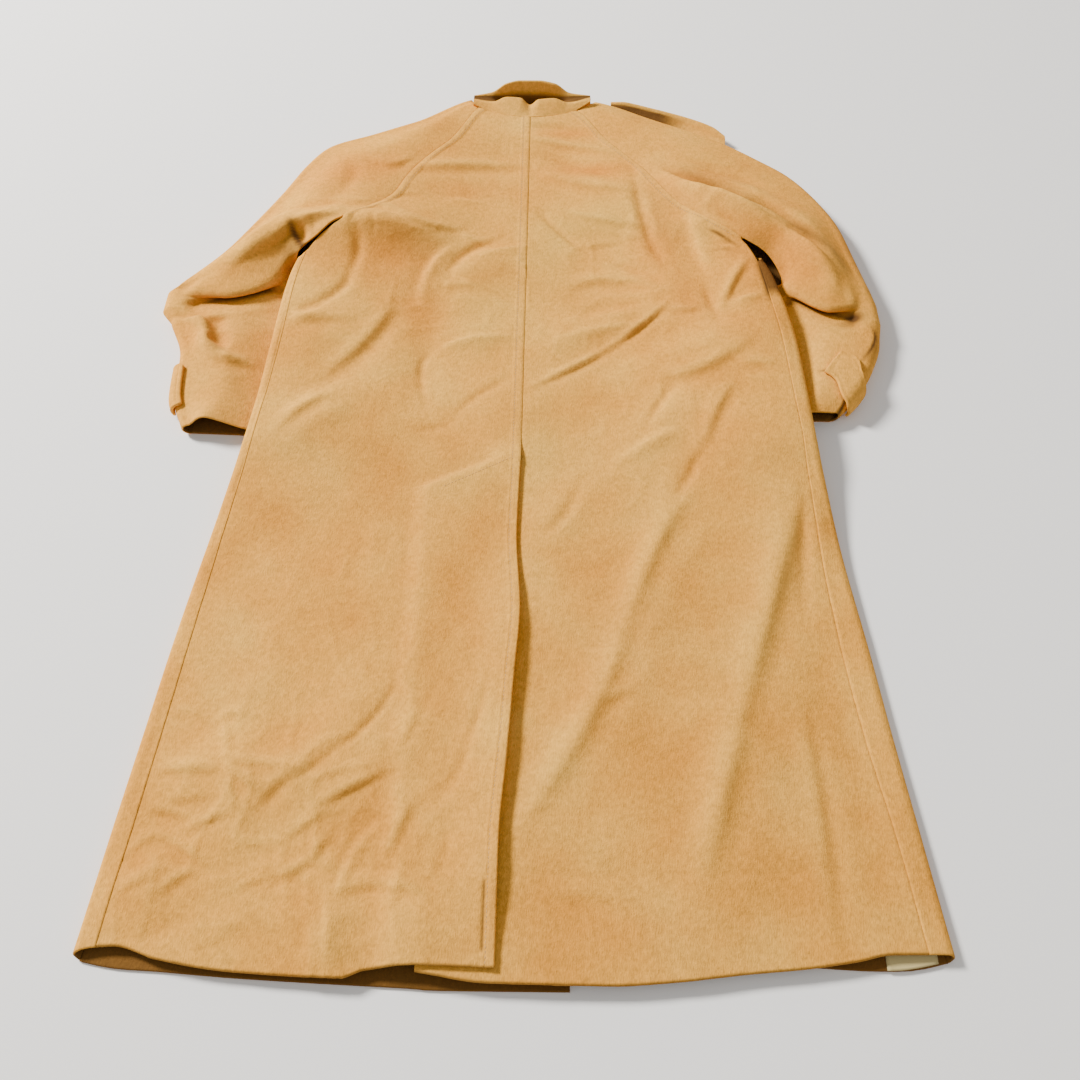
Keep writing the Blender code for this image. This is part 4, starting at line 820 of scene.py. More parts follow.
def welt(distance, high=WELT["high"]):
    """Height of a lapped seam's allowance beside the seam, with a dip along its stitches."""
    raised = ease((WELT["wide"] + 0.22 - distance) / 0.34)
    stitched = hump(distance - WELT["stitch"], STITCH_LINE)
    return high * raised - WELT_DIP * stitched - WELT_DIP * hump(distance, SEAM_LINE)


def seam_lines(distance, stitched):
    """How dark a seam and the sunken row of stitches beside it look."""
    row = hump(distance - WELT["stitch"], SEAM_LINE)
    return LINE_DARK * hump(distance, SEAM_LINE) + LINE_DARK * stitched * row


def put(name, data):
    """Make an object and put it in the scene."""
    made = bpy.data.objects.new(name, data)
    bpy.context.collection.objects.link(made)
    return made


def metres(points):
    """Points of the coat's drawing, in cm from the hem line, as places in the frame."""
    return (points - np.array([0.0, REST_UP, 0.0])) * CM


def wall(
    name, outer, normals, thickness, material, slot="wool", sink=0.0, fold=0.0, dark=0.0, dark_inside=0.0
):
    """A closed wall of cloth between an outer grid of points and the same grid moved inward.

    sink is how far its faces draw in near an edge; fold and dark guide the wool's colour with painted
    highlight on ridges and painted shade in hollows and dark places.
    """
    rows, cols, _ = outer.shape
    thickness, sink = (np.broadcast_to(part, (rows, cols))[..., None] for part in (thickness, sink))
    sink = sink * thickness / 2
    faces_out = outer - normals * sink
    inner = outer - normals * (thickness - sink)
    points = np.concatenate([faces_out.reshape(-1, 3), inner.reshape(-1, 3)])
    points = metres(points)
    back = rows * cols
    start = (np.arange(rows - 1)[:, None] * cols + np.arange(cols - 1)[None, :]).ravel()
    quads = np.stack([start, start + 1, start + 1 + cols, start + cols], -1)
    low, high = np.arange(cols), (rows - 1) * cols + np.arange(cols)
    left, right = np.arange(rows) * cols, np.arange(rows) * cols + cols - 1
    loop = np.concatenate([low, right[1:], high[::-1][1:], left[::-1][1:]])
    border = np.stack([loop[1:], loop[:-1], back + loop[:-1], back + loop[1:]], -1)
    faces = np.concatenate([quads, back + quads[:, ::-1], border])
    mesh = bpy.data.meshes.new(name)
    mesh.from_pydata(points.tolist(), [], faces.tolist())
    mesh.validate()
    mesh.shade_smooth()
    warm = patches(outer[..., 0], outer[..., 1], SHADE_AND_OLIVE_PATCHES)
    guides = {"fold": (fold, 0.0), "warm": (warm, 0.0), "dark": (dark, dark_inside)}
    for label, faces_of in guides.items():
        store = mesh.attributes.new(label, "FLOAT", "POINT")
        values = [np.broadcast_to(face, (rows, cols)).ravel() for face in faces_of]
        store.data.foreach_set("value", np.concatenate(values).astype(np.float32))
    mesh.materials.append(material)
    piece = put(name + "_cloth", mesh)
    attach(piece, "root")
    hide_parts(name)


def blur(values, times):
    """Even out a grid of heights over its neighbours."""
    for _ in range(times):
        for axis in (0, 1):
            padded = np.concatenate([values.take([0], axis), values, values.take([-1], axis)], axis)
            length = values.shape[axis]
            low, high = (padded.take(range(i, i + length), axis) for i in (0, 2))
            values = 0.5 * values + 0.25 * (low + high)
    return values


def hollows(height, times=60):
    """Where the cloth stands above its surroundings (above 0) or below them."""
    return np.clip((height - blur(height, times)) / HOLLOW_FULL, -HOLLOW_MOST, HOLLOW_MOST)


def linear(hex_text):
    """An sRGB colour in hex as linear values."""
    values = [int(hex_text.lstrip("#")[i : i + 2], 16) / 255 for i in (0, 2, 4)]
    return tuple(v / 12.92 if v <= 0.04045 else ((v + 0.055) / 1.055) ** 2.4 for v in values) + (1.0,)


def socket_key(name):
    """An input's number for a name like _3, or else the name that it shows."""
    return int(name[1:]) if name[0] == "_" else name.replace("_", " ")


def add_node(tree, kind, settings=None, links=None, **values):
    """Add a node, set it up, and link its inputs to other nodes' outputs."""
    node = tree.nodes.new(kind)
    for name, value in (settings or {}).items():
        setattr(node, name, value)
    for name, value in values.items():
        node.inputs[socket_key(name)].default_value = value
    for name, source in (links or {}).items():
        tree.links.new(source, node.inputs[socket_key(name)])
    return node


def noise(tree, place, scale, detail, roughness):
    """An uneven pattern, smooth at its own scale; detail adds finer layers."""
    links = {"Vector": place}
    node = add_node(tree, "ShaderNodeTexNoise", None, links, Scale=scale, Detail=detail, Roughness=roughness)
    return node.outputs["Fac"]


def stored(tree, name):
    """A value that the mesh carries at each point."""
    return add_node(tree, "ShaderNodeAttribute", {"attribute_name": name}).outputs["Fac"]


def tint(tree, share, below, hex_text):
    """Blend a colour over the one below it."""
    links = {"_0": share, "_6": below}
    return add_node(tree, "ShaderNodeMix", {"data_type": "RGBA"}, links, _7=linear(hex_text)).outputs[2]


def stretched(tree, value, **ranges):
    """A value carried from one range to another."""
    return add_node(tree, "ShaderNodeMapRange", None, {"Value": value}, **ranges).outputs[0]


def wool_material(name, main, light):
    """Brushed wool: soft patches of colour, a short nap, painted highlight on ridges, and painted shade that
    makes hollows deeper and warmer and darkens the wool between layers.
    """
    look = bpy.context.scene.coat_colours
    material = bpy.data.materials.new(name)
    material.use_nodes = True
    tree = material.node_tree
    shader = tree.nodes["Principled BSDF"]
    place = add_node(tree, "ShaderNodeTexCoord").outputs["Object"]
    # Patches 8 to 15 cm wide, where the brushed nap lies one way or another
    patch = noise(tree, place, 9.0, 3.0, 0.55)
    # Mottling about 5 mm wide
    mottle = noise(tree, place, 190.0, 3.0, 0.6)
    # Nap fibres about 1 mm by 4 mm, drawn a little coarser than real so that they show
    comb = add_node(tree, "ShaderNodeMapping", None, {"Vector": place}, Scale=(1.0, 0.32, 1.0))
    nap = noise(tree, comb.outputs[0], 780.0, 4.0, 0.65)
    base = add_node(tree, "ShaderNodeValToRGB", None, {"Fac": patch})
    ramp = base.color_ramp
    ramp.elements[0].position, ramp.elements[0].color = 0.2, linear(look.wool_deep)
    ramp.elements[1].position, ramp.elements[1].color = 0.8, linear(light)
    ramp.elements.new(0.5).color = linear(main)
    # Painted highlight makes ridges paler and painted shade makes hollows deeper; patches get a painted
    # orange shade or an olive tone
    fold, warm = stored(tree, "fold"), stored(tree, "warm")
    colour = tint(tree, stretched(tree, fold, To_Max=0.35), base.outputs["Color"], light)
    colour = tint(tree, stretched(tree, fold, From_Max=-1.0, To_Max=0.28), colour, look.wool_deep)
    colour = tint(tree, stretched(tree, warm, To_Max=0.55), colour, look.wool_warm_shade)
    colour = tint(tree, stretched(tree, warm, From_Max=-1.0, To_Max=0.5), colour, look.wool_olive)
    speck = add_node(tree, "ShaderNodeMath", {"operation": "MULTIPLY"}, {"_0": mottle}, _1=0.5)
    links = {"_0": nap, "_2": speck.outputs[0]}
    fibre = add_node(tree, "ShaderNodeMath", {"operation": "MULTIPLY_ADD"}, links, _1=0.5).outputs[0]
    shade = stretched(tree, fibre, From_Min=0.36, From_Max=0.64, To_Min=0.80, To_Max=1.20)
    tone = add_node(tree, "ShaderNodeHueSaturation", None, {"Value": shade, "Color": colour})
    # Little light reaches the wool between layers and in deep folds, so it is drawn darker
    colour = tint(tree, stored(tree, "dark"), tone.outputs["Color"], look.wool_shade)
    tree.links.new(colour, shader.inputs["Base Color"])
    fine = add_node(tree, "ShaderNodeBump", None, {"Height": nap}, Strength=0.6, Distance=0.0012)
    links = {"Height": mottle, "Normal": fine.outputs[0]}
    soft = add_node(tree, "ShaderNodeBump", None, links, Strength=0.25, Distance=0.002)
    tree.links.new(soft.outputs[0], shader.inputs["Normal"])
    matt = {"Roughness": 0.95, "IOR": 1.5, "Specular IOR Level": 0.12}
    sheen = {"Sheen Weight": 0.04, "Sheen Roughness": 0.55, "Sheen Tint": linear(light)}
    for socket, value in {**matt, **sheen}.items():
        shader.inputs[socket].default_value = value
    return material


def plain_material(name, hex_text, roughness, sheen=0.0):
    """A smooth even material of one colour."""
    material = bpy.data.materials.new(name)
    material.use_nodes = True
    shader = material.node_tree.nodes["Principled BSDF"]
    values = {"Base Color": linear(hex_text), "Roughness": roughness, "IOR": 1.5}
    for socket, value in {**values, "Specular IOR Level": 0.3, "Sheen Weight": sheen}.items():
        shader.inputs[socket].default_value = value
    return material


def shared(name, make, *settings):
    """A material that several pieces use, made once."""
    return bpy.data.materials.get(name) or make(name, *settings)


def camel():
    """Brushed camel wool: matt and warm, with a painted highlight that makes its ridges paler."""
    look = bpy.context.scene.coat_colours
    return shared("brushed camel wool", wool_material, look.wool, look.wool_light)


def camel_under():
    """The same wool where it lies underneath, darker because little light reaches it."""
    look = bpy.context.scene.coat_colours
    return shared("brushed camel wool underside", wool_material, look.under, look.wool)


EDGE_PLACES = np.array(
    [0, 0.03, 0.07, 0.12, 0.18, 0.26, 0.36, 0.48, 0.62, 0.76, 0.88, 0.98, 1.08, 1.18, 1.3, 1.46, 1.7, 2.1]
)


def spread(total, step):
    """Places from 0 to a total, close at both ends; total may be a column of widths."""
    total = np.asarray(total, float)
    ends = 2 * EDGE_PLACES[-1]
    count = int(np.ceil((float(np.max(total)) - ends) / step))
    middle = np.linspace(0, 1, count + 1)[1:-1]
    total = total[..., None] if total.ndim else total
    even = EDGE_PLACES[-1] + middle * (total - ends)
    near = np.broadcast_to(EDGE_PLACES, even.shape[:-1] + EDGE_PLACES.shape)
    return np.concatenate([near, even, total - near[..., ::-1]], -1)


def back_width(side, ups):
    """How wide a back panel is, from its inner end to its outer seam."""
    x_in, x_out, _, _ = back_ends(side, ups)
    return np.abs(x_out - x_in)


def above_vent(ups):
    """1 on the closed centre seam and 0 beside the vent below it."""
    return ease(ups - VENT_TOP + 1.0)


def on_raglan(side, ups):
    """1 on the raglan seam and 0 on the side seam below it."""
    return ease((ups - UNDERARM[side] + 0.5) / 0.5)


def vent_slit(gaps, ups):
    """A short cut line beside the vent edge, just above the hem."""
    off, wide, low, high = VENT_SLIT
    return hump(gaps - off, wide) * between(ups, low, 0.5, high, 0.6)


def inside_shade(ups, high=HEM_LIT, fade=HEM_FADE):
    """Painted shade on the inner face where it shows, up to a height above the hem or cuff."""
    return INSIDE_DARK * ease((high - ups) / fade)


def back_panel(side):
    """A back panel with its seam welts, vent edge and hem."""
    rows = spread(BACK_LENGTH, BACK_STEP)
    rows[np.argmin(np.abs(rows - UNDERARM[side]))] = UNDERARM[side]
    ups = rows[:, None]
    width = back_width(side, ups)
    gaps = spread(width[:, 0], BACK_COLUMN_STEPS[side])
    grid = back_point(side, ups, gaps / width)
    from_out = width - gaps
    raglan = on_raglan(side, ups)
    # fold paints ridges paler and hollows deeper, with a painted highlight along the raglan welt
    fold = hollows(grid[..., 2]) + 0.9 * ease((WELT["wide"] - 0.2 - from_out) / 0.2) * raglan
    grid[..., 2] += seam_relief(side, ups, gaps, from_out)
    lines = seam_lines(from_out, raglan)
    sink = rim(ups + 0 * gaps, 0.26)
    turned_hem = HEM_EXTRA * ease((HEM_TURN - ups) / 0.8) + 0 * gaps
    if side == "left":
        lines = np.maximum(lines, seam_lines(gaps, 1.0) * above_vent(ups)) + 0.8 * vent_slit(gaps, ups)
        turned_hem = turned_hem * ease(gaps - VENT_STRIP)
        sink = np.maximum(sink, rim(gaps + 4 * ease((ups - VENT_TOP + 0.6) / 0.6)))
    # Painted shade along the hem's edge and, on the right, in the folds beside the sleeve, over the dark
    # seam lines
    dark = np.maximum(HEM_DARK * ease((0.3 - ups) / 0.25), lines)
    if side == "right":
        dark = dark + shade_of_folds(grid[..., 0], grid[..., 1])
    layers = (grid, CLOTH + turned_hem, sink, fold, np.clip(dark, 0, 1))
    grid, thickness, sink, fold, dark = (part[:, :: SIDES[side]] for part in layers)
    normals = outward(grid)
    edge = upright(normals)
    normals[:, 0], normals[:, -1], normals[-1] = edge[:, 0], edge[:, -1], edge[-1]
    guides = {"sink": sink, "fold": fold, "dark": dark, "dark_inside": inside_shade(ups)}
    wall("back_" + side, grid, normals, thickness, camel(), **guides)


def seam_relief(side, ups, gaps, from_out):
    """Welts and stitched lines of a back panel."""
    if side == "left":
        vent = 0.05 * ease((1.3 - gaps) / 0.3) - 0.06 * hump(gaps - VENT_STITCH, STITCH_LINE)
        height = mix(vent - 0.14 * vent_slit(gaps, ups), welt(gaps), above_vent(ups))
    else:
        height = -0.02 * hump(gaps, SEAM_LINE) * above_vent(ups)
    side_seam = -0.03 * hump(from_out, 0.12)
    height = height + mix(side_seam, welt(from_out, WELT["raglan_high"]), on_raglan(side, ups))
    return height - 0.05 * hump(ups - HEM_LINE, 0.22) * ease((gaps - 1.2) / 1.5)


def lift_height(side, x, up):
    """How high the underside of the body is held by the forearm under it."""
    start = TUCK_START[side]
    edge = along(BODY, "edge_" + side, up)
    share = np.clip((x - start) / (edge - start), 0, 1)
    return along(BODY, "lift_" + side, up) * ease(share)


def front_edge_columns(side):
    """Columns of a front panel at its free edge, closer where one front lies on the other."""
    return SIDES[side] * np.array([-FRONT_OVERLAP, *FRONT_LAP_COLUMNS])


def wrapped_ring(side, up):
    """A ring of a front panel: flat, then round the side edge and up to the side seam."""
    sign = SIDES[side]
    underarm = UNDERARM[side]
    drawn = np.clip((up - WRAP_END) / (underarm - WRAP_END), 0, 1)
    edge = float(along(BODY, "edge_" + side, up))
    seam, high = (float(v) for v in seam_point(side, np.array(min(up, underarm - 0.01))))
    seam += sign * SEAM_GAP / 2
    half = min(EDGE_ROUND, 0.7 * abs(edge - seam))
    floor_end = float(along(SLEEVES[side], "floor_x", underarm)) - sign * (SEAM_GAP / 2 + FRONT_TAIL)
    centre = mix(edge - sign * half, floor_end, drawn)
    tail = FRONT_TAIL * drawn
    low = float(lift_height(side, centre, up))
    turn = np.radians(np.linspace(-90, 90, 25))
    # Half a turn, almost as high as the seam, carries the cloth round the side edge
    rise = (high - 0.02 - low) / 2
    path_x = np.concatenate([[centre], centre + sign * (tail + half * np.cos(turn)), [seam + sign * tail]])
    path_z = np.concatenate([[low], low + rise * (1 + np.sin(turn)), [high]])
    run = np.append(0, np.cumsum(np.hypot(np.diff(path_x), np.diff(path_z))))
    top, end = run[-2] - tail, run[-1] - tail
    # Six places round the edge and two up to the seam; above the side seam they spread flat
    stations = np.append(np.linspace(0, top, 7)[1:], [(top + end) / 2, end])
    reach = stations * (1 - drawn) + tail * np.linspace(0, 1, 9)[1:]
    flat_x = np.concatenate([front_edge_columns(side), [0, 0, 0, 0, centre]])
    flat_x[3:7] = mix(flat_x[2], centre, FRONT_COLUMNS)
    x = np.concatenate([flat_x, np.interp(reach, run, path_x)])
    z = np.concatenate([lift_height(side, flat_x, up), np.interp(reach, run, path_z)])
    layer = np.concatenate([np.zeros(8), np.clip((z[8:] - low) / (2 * rise), 0, 1)])
    y = up + hem_shift(side, x, up, layer)
    z[-2:] += relief(x[-2:], y[-2:], 0.0) * (1 - drawn)
    return np.stack([x, y, z], -1)


def raglan_ring(side, up):
    """A ring of a front panel between the front edge and its raglan seam, on the floor."""
    sign = SIDES[side]
    x_out = float(along(SLEEVES[side], "floor_x", up)) - sign * SEAM_GAP / 2
    y_out = float(along(SLEEVES[side], "floor_y", up))
    x = front_edge_columns(side)
    tail_start = x_out - sign * FRONT_TAIL
    tail = mix(tail_start, x_out, np.linspace(0, 1, 9))
    close = np.concatenate([mix(x[2], tail_start, FRONT_COLUMNS), tail])
    even = mix(x[2], x_out, np.linspace(0, 1, 14)[1:])
    x = np.concatenate([x, mix(close, even, ease((up - UNDERARM[side]) / FRONT_SPREAD))])
    near_neck = ease((up - FRONT_DROP_START) / (FRONT_NECK_TOP - FRONT_DROP_START))
    drop = FRONT_NECK_DROP * (1 - ease(np.abs(x) / abs(x_out))) * near_neck
    y = up + (y_out - up) * ease(np.abs(x / x_out)) - drop
    return np.stack([x, y, np.zeros_like(x)], -1)


def front_panel(side):
    """A front panel, flat on the floor and turned round the side of the body."""
    near_hem = [0, 0.05, 0.12, 0.2, 0.35, 0.55]
    low = np.append(near_hem, steps([0.8, WRAP_END, UNDERARM[side]], FRONT_STEP_UP)[:-1])
    high = steps([UNDERARM[side], FRONT_NECK_TOP], 1.2)
    grid = np.array([wrapped_ring(side, up) for up in low] + [raglan_ring(side, up) for up in high])
    if side == "right":
        over = ease((FRONT_OVERLAP + FRONT_STEP - grid[:, :3, 0]) / FRONT_STEP)
        grid[:, :3, 2] += (CLOTH + LAYER_GAP) * over
    grid = finer(grid, 3, 1)
    grid[..., 2] = np.maximum(grid[..., 2], 0.0)
    ups = np.append(low, high)[:, None]
    sink = rim(ups + 0 * grid[..., 0])
    grid, sink = (part[:, :: -SIDES[side]] for part in (grid, sink))
    normals = outward(grid)
    edge = upright(normals)
    free, seam = (0, -1) if side == "left" else (-1, 0)
    normals[:, free] = edge[:, free]
    flat_or_wrapped = (grid[:, seam, 2] < 0.01) | (ups[:, 0] <= WRAP_END)
    normals[flat_or_wrapped, seam] = edge[flat_or_wrapped, seam]
    normals[0] = unit(normals[0] * np.array([1, 0, 1]))
    # Painted shade: the front's hem is darker where it is low, and so is its side under the sleeve
    at_hem = 0.7 * ease((0.8 - ups) / 0.6) * ease((1.2 - grid[..., 2]) / 0.8)
    dark = at_hem + 0.9 * ease((ups - FRONT_DARK_FROM[side]) / 1.5)
    guides = {"sink": sink, "dark": dark, "dark_inside": inside_shade(ups)}
    wall("front_" + side, grid, normals, CLOTH, camel(), **guides)


def sleeve_sections(side, ats):
    """Inner end, brow, crest and outer point of the sleeve's upper side at each place."""
    sleeve = SLEEVES[side]
    sections = []
    for mark in ("in", "brow", "crest", "out"):
        x, y, z = (along(sleeve, mark + axis, ats) for axis in ("_x", "_y", "_z"))
        if mark == "in":
            y = np.where(ats >= UNDERARM[side], ats, y)
        sections.append(np.stack([x, y + neck_rise(x, ats), z], -1))
    return np.stack(sections, 1)


def across_sections(sections, shares):
    """Points across each section, on a smooth curve through its four named points."""
    marks = {"share": np.array([0.0, 1.0, 2.0, 3.0])}
    rows = []
    for section in sections:
        curve = [along({**marks, "v": section[:, axis]}, "v", shares) for axis in range(3)]
        rows.append(np.stack(curve, -1))
    return np.array(rows)


def pleat_depth(shares):
    """The pleat is deepest by the body and dies out at the elbow's outer edge."""
    deep = mix(0.1, 1, ease((shares - PLEAT_START) / PLEAT_GROW))
    return deep * (1 - ease((shares - PLEAT_DIES) / (3 - PLEAT_DIES)))


def fold_share(ats, shares):
    """The broad folds die out before the elbow and before the sleeve's outer edge."""
    return (1 - ease((shares - 2.2) / 0.8)) * ease((ats - PLEAT_AT - 1.0) / 5.0)


def outer_heading(side, ats):
    """Which way the sleeve's outer edge faces at each section, seen from above."""
    sections = sleeve_sections(side, ats)
    return unit(sections[:, 3, :2] - sections[:, 2, :2])


def outer_round(outer, headings, angles):
    """Rings that carry the sleeve's upper side round its outer edge to the floor."""
    rings = []
    for angle in angles:
        wide = SLEEVE_ROUND * outer[:, 2]
        ring = outer.copy()
        ring[:, :2] += headings * (wide * np.cos(angle))[:, None]
        ring[:, 2] = outer[:, 2] / 2 * (1 + np.sin(angle))
        rings.append(ring)
    return np.stack(rings, 1)


def sleeve_places(side):
    """Places down the sleeve: the upper arm, the pleat's rings and the forearm."""
    last = SLEEVES[side]["at"][-1]
    arm = steps([BACK_LENGTH, UNDERARM[side], PLEAT_AT + PLEAT_REACH], SLEEVE_STEP)
    rings = np.linspace(0, LAST_RING, 36)
    fore = steps([PLEAT_AT - PLEAT_REACH, last + 0.8], SLEEVE_STEP)
    return arm, rings, np.concatenate([fore, last + CUFF_ROWS])


def sleeve_top(side, shares):
    """Outer face of a sleeve's back panel, and where each of its rows lies down the sleeve.

    The pleat's rings are the elbow's section again, pushed forward and down ring by ring.
    """
    arm, rings, fore = sleeve_places(side)
    upper = across_sections(sleeve_sections(side, arm), shares)
    off_seam = np.linalg.norm(upper - upper[:, :1], axis=-1)
    x, y = upper[..., 0], upper[..., 1]
    detail = relief(x, y, off_seam) + crease_height(x, y, SLEEVE_CREASES) * ease(off_seam / 1.6)
    upper[..., 2] += detail * fold_share(arm[:, None], shares)
    lip = across_sections(sleeve_sections(side, np.array([PLEAT_AT])), shares)[0]
    depth = pleat_depth(shares)
    folded = []
    for ring_at in rings:
        forward, rise, even = (along(PLEAT, name, ring_at) for name in ("forward", "rise", "even"))
        ring = lip.copy()
        ring[:, 1] -= mix(even, forward, depth)
        ring[:, 2] += rise * ease(depth / PLEAT_PART)
        folded.append(ring)
    folded = np.array(folded)
    lower = across_sections(sleeve_sections(side, fore), shares)
    x, y = lower[..., 0], lower[..., 1]
    off_pleat = ease((PLEAT_AT - PLEAT_REACH - fore[:, None]) / 0.8)
    lower[..., 2] += 0.5 * ripple(x, y, 3.5, 8) * bpy.context.scene.coat_sizes.wave / CM
    lower[..., 2] += crease_height(x, y, SLEEVE_CREASES) * off_pleat
    join = bridge(upper[-6], upper[-1], folded[0], folded[5], JOIN_ROWS["above"])
    leave = bridge(folded[-6], folded[-1], lower[0], lower[5], JOIN_ROWS["below"])
    even = PLEAT_AT - along(PLEAT, "even", rings)
    join_at = mix(arm[-1], even[0], np.linspace(0, 1, JOIN_ROWS["above"] + 2)[1:-1])
    leave_at = mix(even[-1], fore[0], np.linspace(0, 1, JOIN_ROWS["below"] + 2)[1:-1])
    ats = np.concatenate([arm, join_at, even, leave_at, fore])
    return np.concatenate([upper, join, folded, leave, lower]), ats


def bridge(before, start, end, after, count):
    """Rows on a smooth curve between two rows."""
    rows = np.stack([start - (start - before) / 2, start, end, end + (after - end) / 2])
    return finer(rows, count + 1, 0)[count + 2 : 2 * count + 2]


def ring_rows(side):
    """For each row of the sleeve, how far through the pleat's rings it lies."""
    arm, rings, fore = sleeve_places(side)
    above = np.zeros(len(arm) + JOIN_ROWS["above"])
    below = np.full(JOIN_ROWS["below"] + len(fore), LAST_RING)
    return np.concatenate([above, rings, below])


def lip_shade(ring_at, shares):
    """How dark the painted shade makes the wool on the underside of the pleat's lip and in the fold behind
    it.
    """
    return LIP_DARK * between(ring_at, 2.2, 1.2, LAST_RING, 0.8)[:, None] * pleat_depth(shares)


def shade_of_folds(x, y):
    """How dark the painted shade makes the wool in the deep folds beside the sleeves."""
    return np.clip(patches(x, y, DARKS) + crease_height(x, y, DARK_LINES), 0, 1)


def sleeve_back(side):
    """The upper side of a sleeve, carried round its outer edge to the floor."""
    # Places across run from 0 at the inner seam to 3 at the outer edge, close at the seam
    near = np.array([0, 0.012, 0.03, 0.05, 0.075, 0.1])
    shares = np.concatenate([near, np.linspace(0.13, 3, 62)])
    angles = np.radians(np.linspace(80, -90, 18))
    grid, ats = sleeve_top(side, shares)
    grid[:, 0, 0] += SIDES[side] * SEAM_GAP / 2
    # fold paints ridges paler and hollows deeper; dark is painted shade in the folds beside the body and
    # under the pleat's lip
    fold = hollows(grid[..., 2], 40)
    off_seam = np.linalg.norm(grid - grid[:, :1], axis=-1)
    grid[..., 2] -= WELT_DIP * hump(off_seam, SEAM_LINE) * on_raglan(side, ats[:, None])
    grid = np.concatenate([grid, outer_round(grid[:, -1], outer_heading(side, ats), angles)], 1)
    fold = np.concatenate([fold, np.repeat(fold[:, -1:], len(angles), 1)], 1)
    last = ats[-1]
    sink = rim(ats[:, None] - last + 0 * grid[..., 0])
    lip = lip_shade(ring_rows(side), np.concatenate([shares, np.full(len(angles), 3.0)]))
    dark = np.clip(shade_of_folds(grid[..., 0], grid[..., 1]) + lip, 0, 1)
    grid, fold, sink, dark = (part[:, :: -SIDES[side]] for part in (grid, fold, sink, dark))
    normals = outward(grid)
    edge = upright(normals)
    inner, outer = (0, -1) if side == "left" else (-1, 0)
    raglan_count = int(np.sum(ats >= UNDERARM[side]))
    normals[:raglan_count, inner] = edge[:raglan_count, inner]
    normals[:, outer] = (0, 0, -1)
    inside = inside_shade(ats[:, None], last + CUFF_LIT, CUFF_FADE)
    guides = {"sink": sink, "fold": fold, "dark": dark, "dark_inside": inside}
    wall("sleeve_" + side + "_back", grid, normals, CLOTH, camel(), **guides)


def sleeve_front(side):
    """The front panel of a sleeve lies flat on the floor under its back panel."""
    sleeve = SLEEVES[side]
    top, ats = sleeve_top(side, np.array([2.0, 3.0]))
    inner = np.stack([along(sleeve, "floor_x", ats), along(sleeve, "floor_y", ats)], -1)
    inner[:, 0] += SIDES[side] * SEAM_GAP / 2
    outer = top[:, -1, :2] - outer_heading(side, ats) * SEAM_GAP
    grid = mix(inner[:, None], outer[:, None], np.linspace(0, 1, 13)[None, :, None])
    grid = np.concatenate([grid, np.zeros_like(grid[..., :1])], -1)[:, :: SIDES[side]]
    sink = rim(ats[:, None] - ats[-1] + 0 * grid[..., 0])
    down = np.broadcast_to((0.0, 0.0, -1.0), grid.shape)
    # Painted shade: the inner face darkens in the cuff and at the underarm, and the wool is the darker
    # underside copy
    in_cuff = 0.8 * ease((ats[-1] + CUFF_LIT - ats[:, None]) / CUFF_FADE)
    at_underarm = 0.9 * ease(1.3 - np.abs(ats[:, None] - 84.0) / 8.0)
    name = "sleeve_" + side + "_front"
    wall(name, grid, down, CLOTH, camel_under(), sink=sink, dark_inside=in_cuff + at_underarm)


def sleeve_surface(side, at, share):
    """A point of the sleeve's outer face and its normal; share 3 to 4 is the outer round."""
    step = 0.05
    points = []
    for shift_at, shift_share in ((0, 0), (step, 0), (0, step)):
        here = at + shift_at
        part = share + shift_share
        section = sleeve_sections(side, np.array([here, here]))
        flat = across_sections(section, np.array([min(part, 3.0)]))[:1, 0]
        if part <= 3.0:
            points.append(flat[0])
        else:
            angle = np.radians(90 - 180 * (part - 3.0))
            points.append(outer_round(flat, outer_heading(side, np.array([here])), [angle])[0, 0])
    place, further_at, further_share = points
    normal = unit(np.cross(further_share - place, further_at - place))
    return place, normal if side == "right" else -normal


def cuff_strap(side):
    """The tab round the cuff, made from the sleeve's own points, moved out."""
    straps = STRAPS[side]
    last = straps["row"][-1]
    near = np.array([0, 0.02, 0.05, 0.09])
    places = np.concatenate([near, np.linspace(0.15, last - 0.15, 34), last - near[::-1]])
    crossing = [0, 0.012, 0.03, 0.05, 0.08, *np.linspace(0.12, 0.88, 16), 0.92, 0.95, 0.97, 0.988, 1]
    crossing = np.array(crossing)
    middle = 12  # one of the two rows of points nearest to the tab's middle
    grid, lean = [], []
    for place in places:
        stand = float(along(straps, "stand", place)) + STRAP_CLOTH
        at, share = (
            mix(along(straps, "low_" + name, place), along(straps, "high_" + name, place), crossing)
            for name in ("at", "across")
        )
        found = [sleeve_surface(side, *point) for point in zip(at, share)]
        grid.append([point + normal * stand for point, normal in found])
        lean.append([normal for _, normal in found])
    grid, lean = np.array(grid), np.array(lean)
    wide = np.linalg.norm(grid[:, -1] - grid[:, 0], axis=-1)[:, None]
    edge = np.minimum(crossing, 1 - crossing)[None, :] * wide
    long = np.append(0, np.cumsum(np.linalg.norm(np.diff(grid[:, middle], axis=0), axis=-1)))
    end = np.minimum(long, long[-1] - long)[:, None] + 0 * edge
    sink = np.maximum(rim(edge, 0.2), rim(end, 0.2))
    grid = grid - lean * 0.07 * hump(np.minimum(edge, end) - STRAP_STITCH, 0.12)[..., None]
    wall("cuff_strap_" + side, grid, lean, STRAP_CLOTH, camel(), sink=sink)


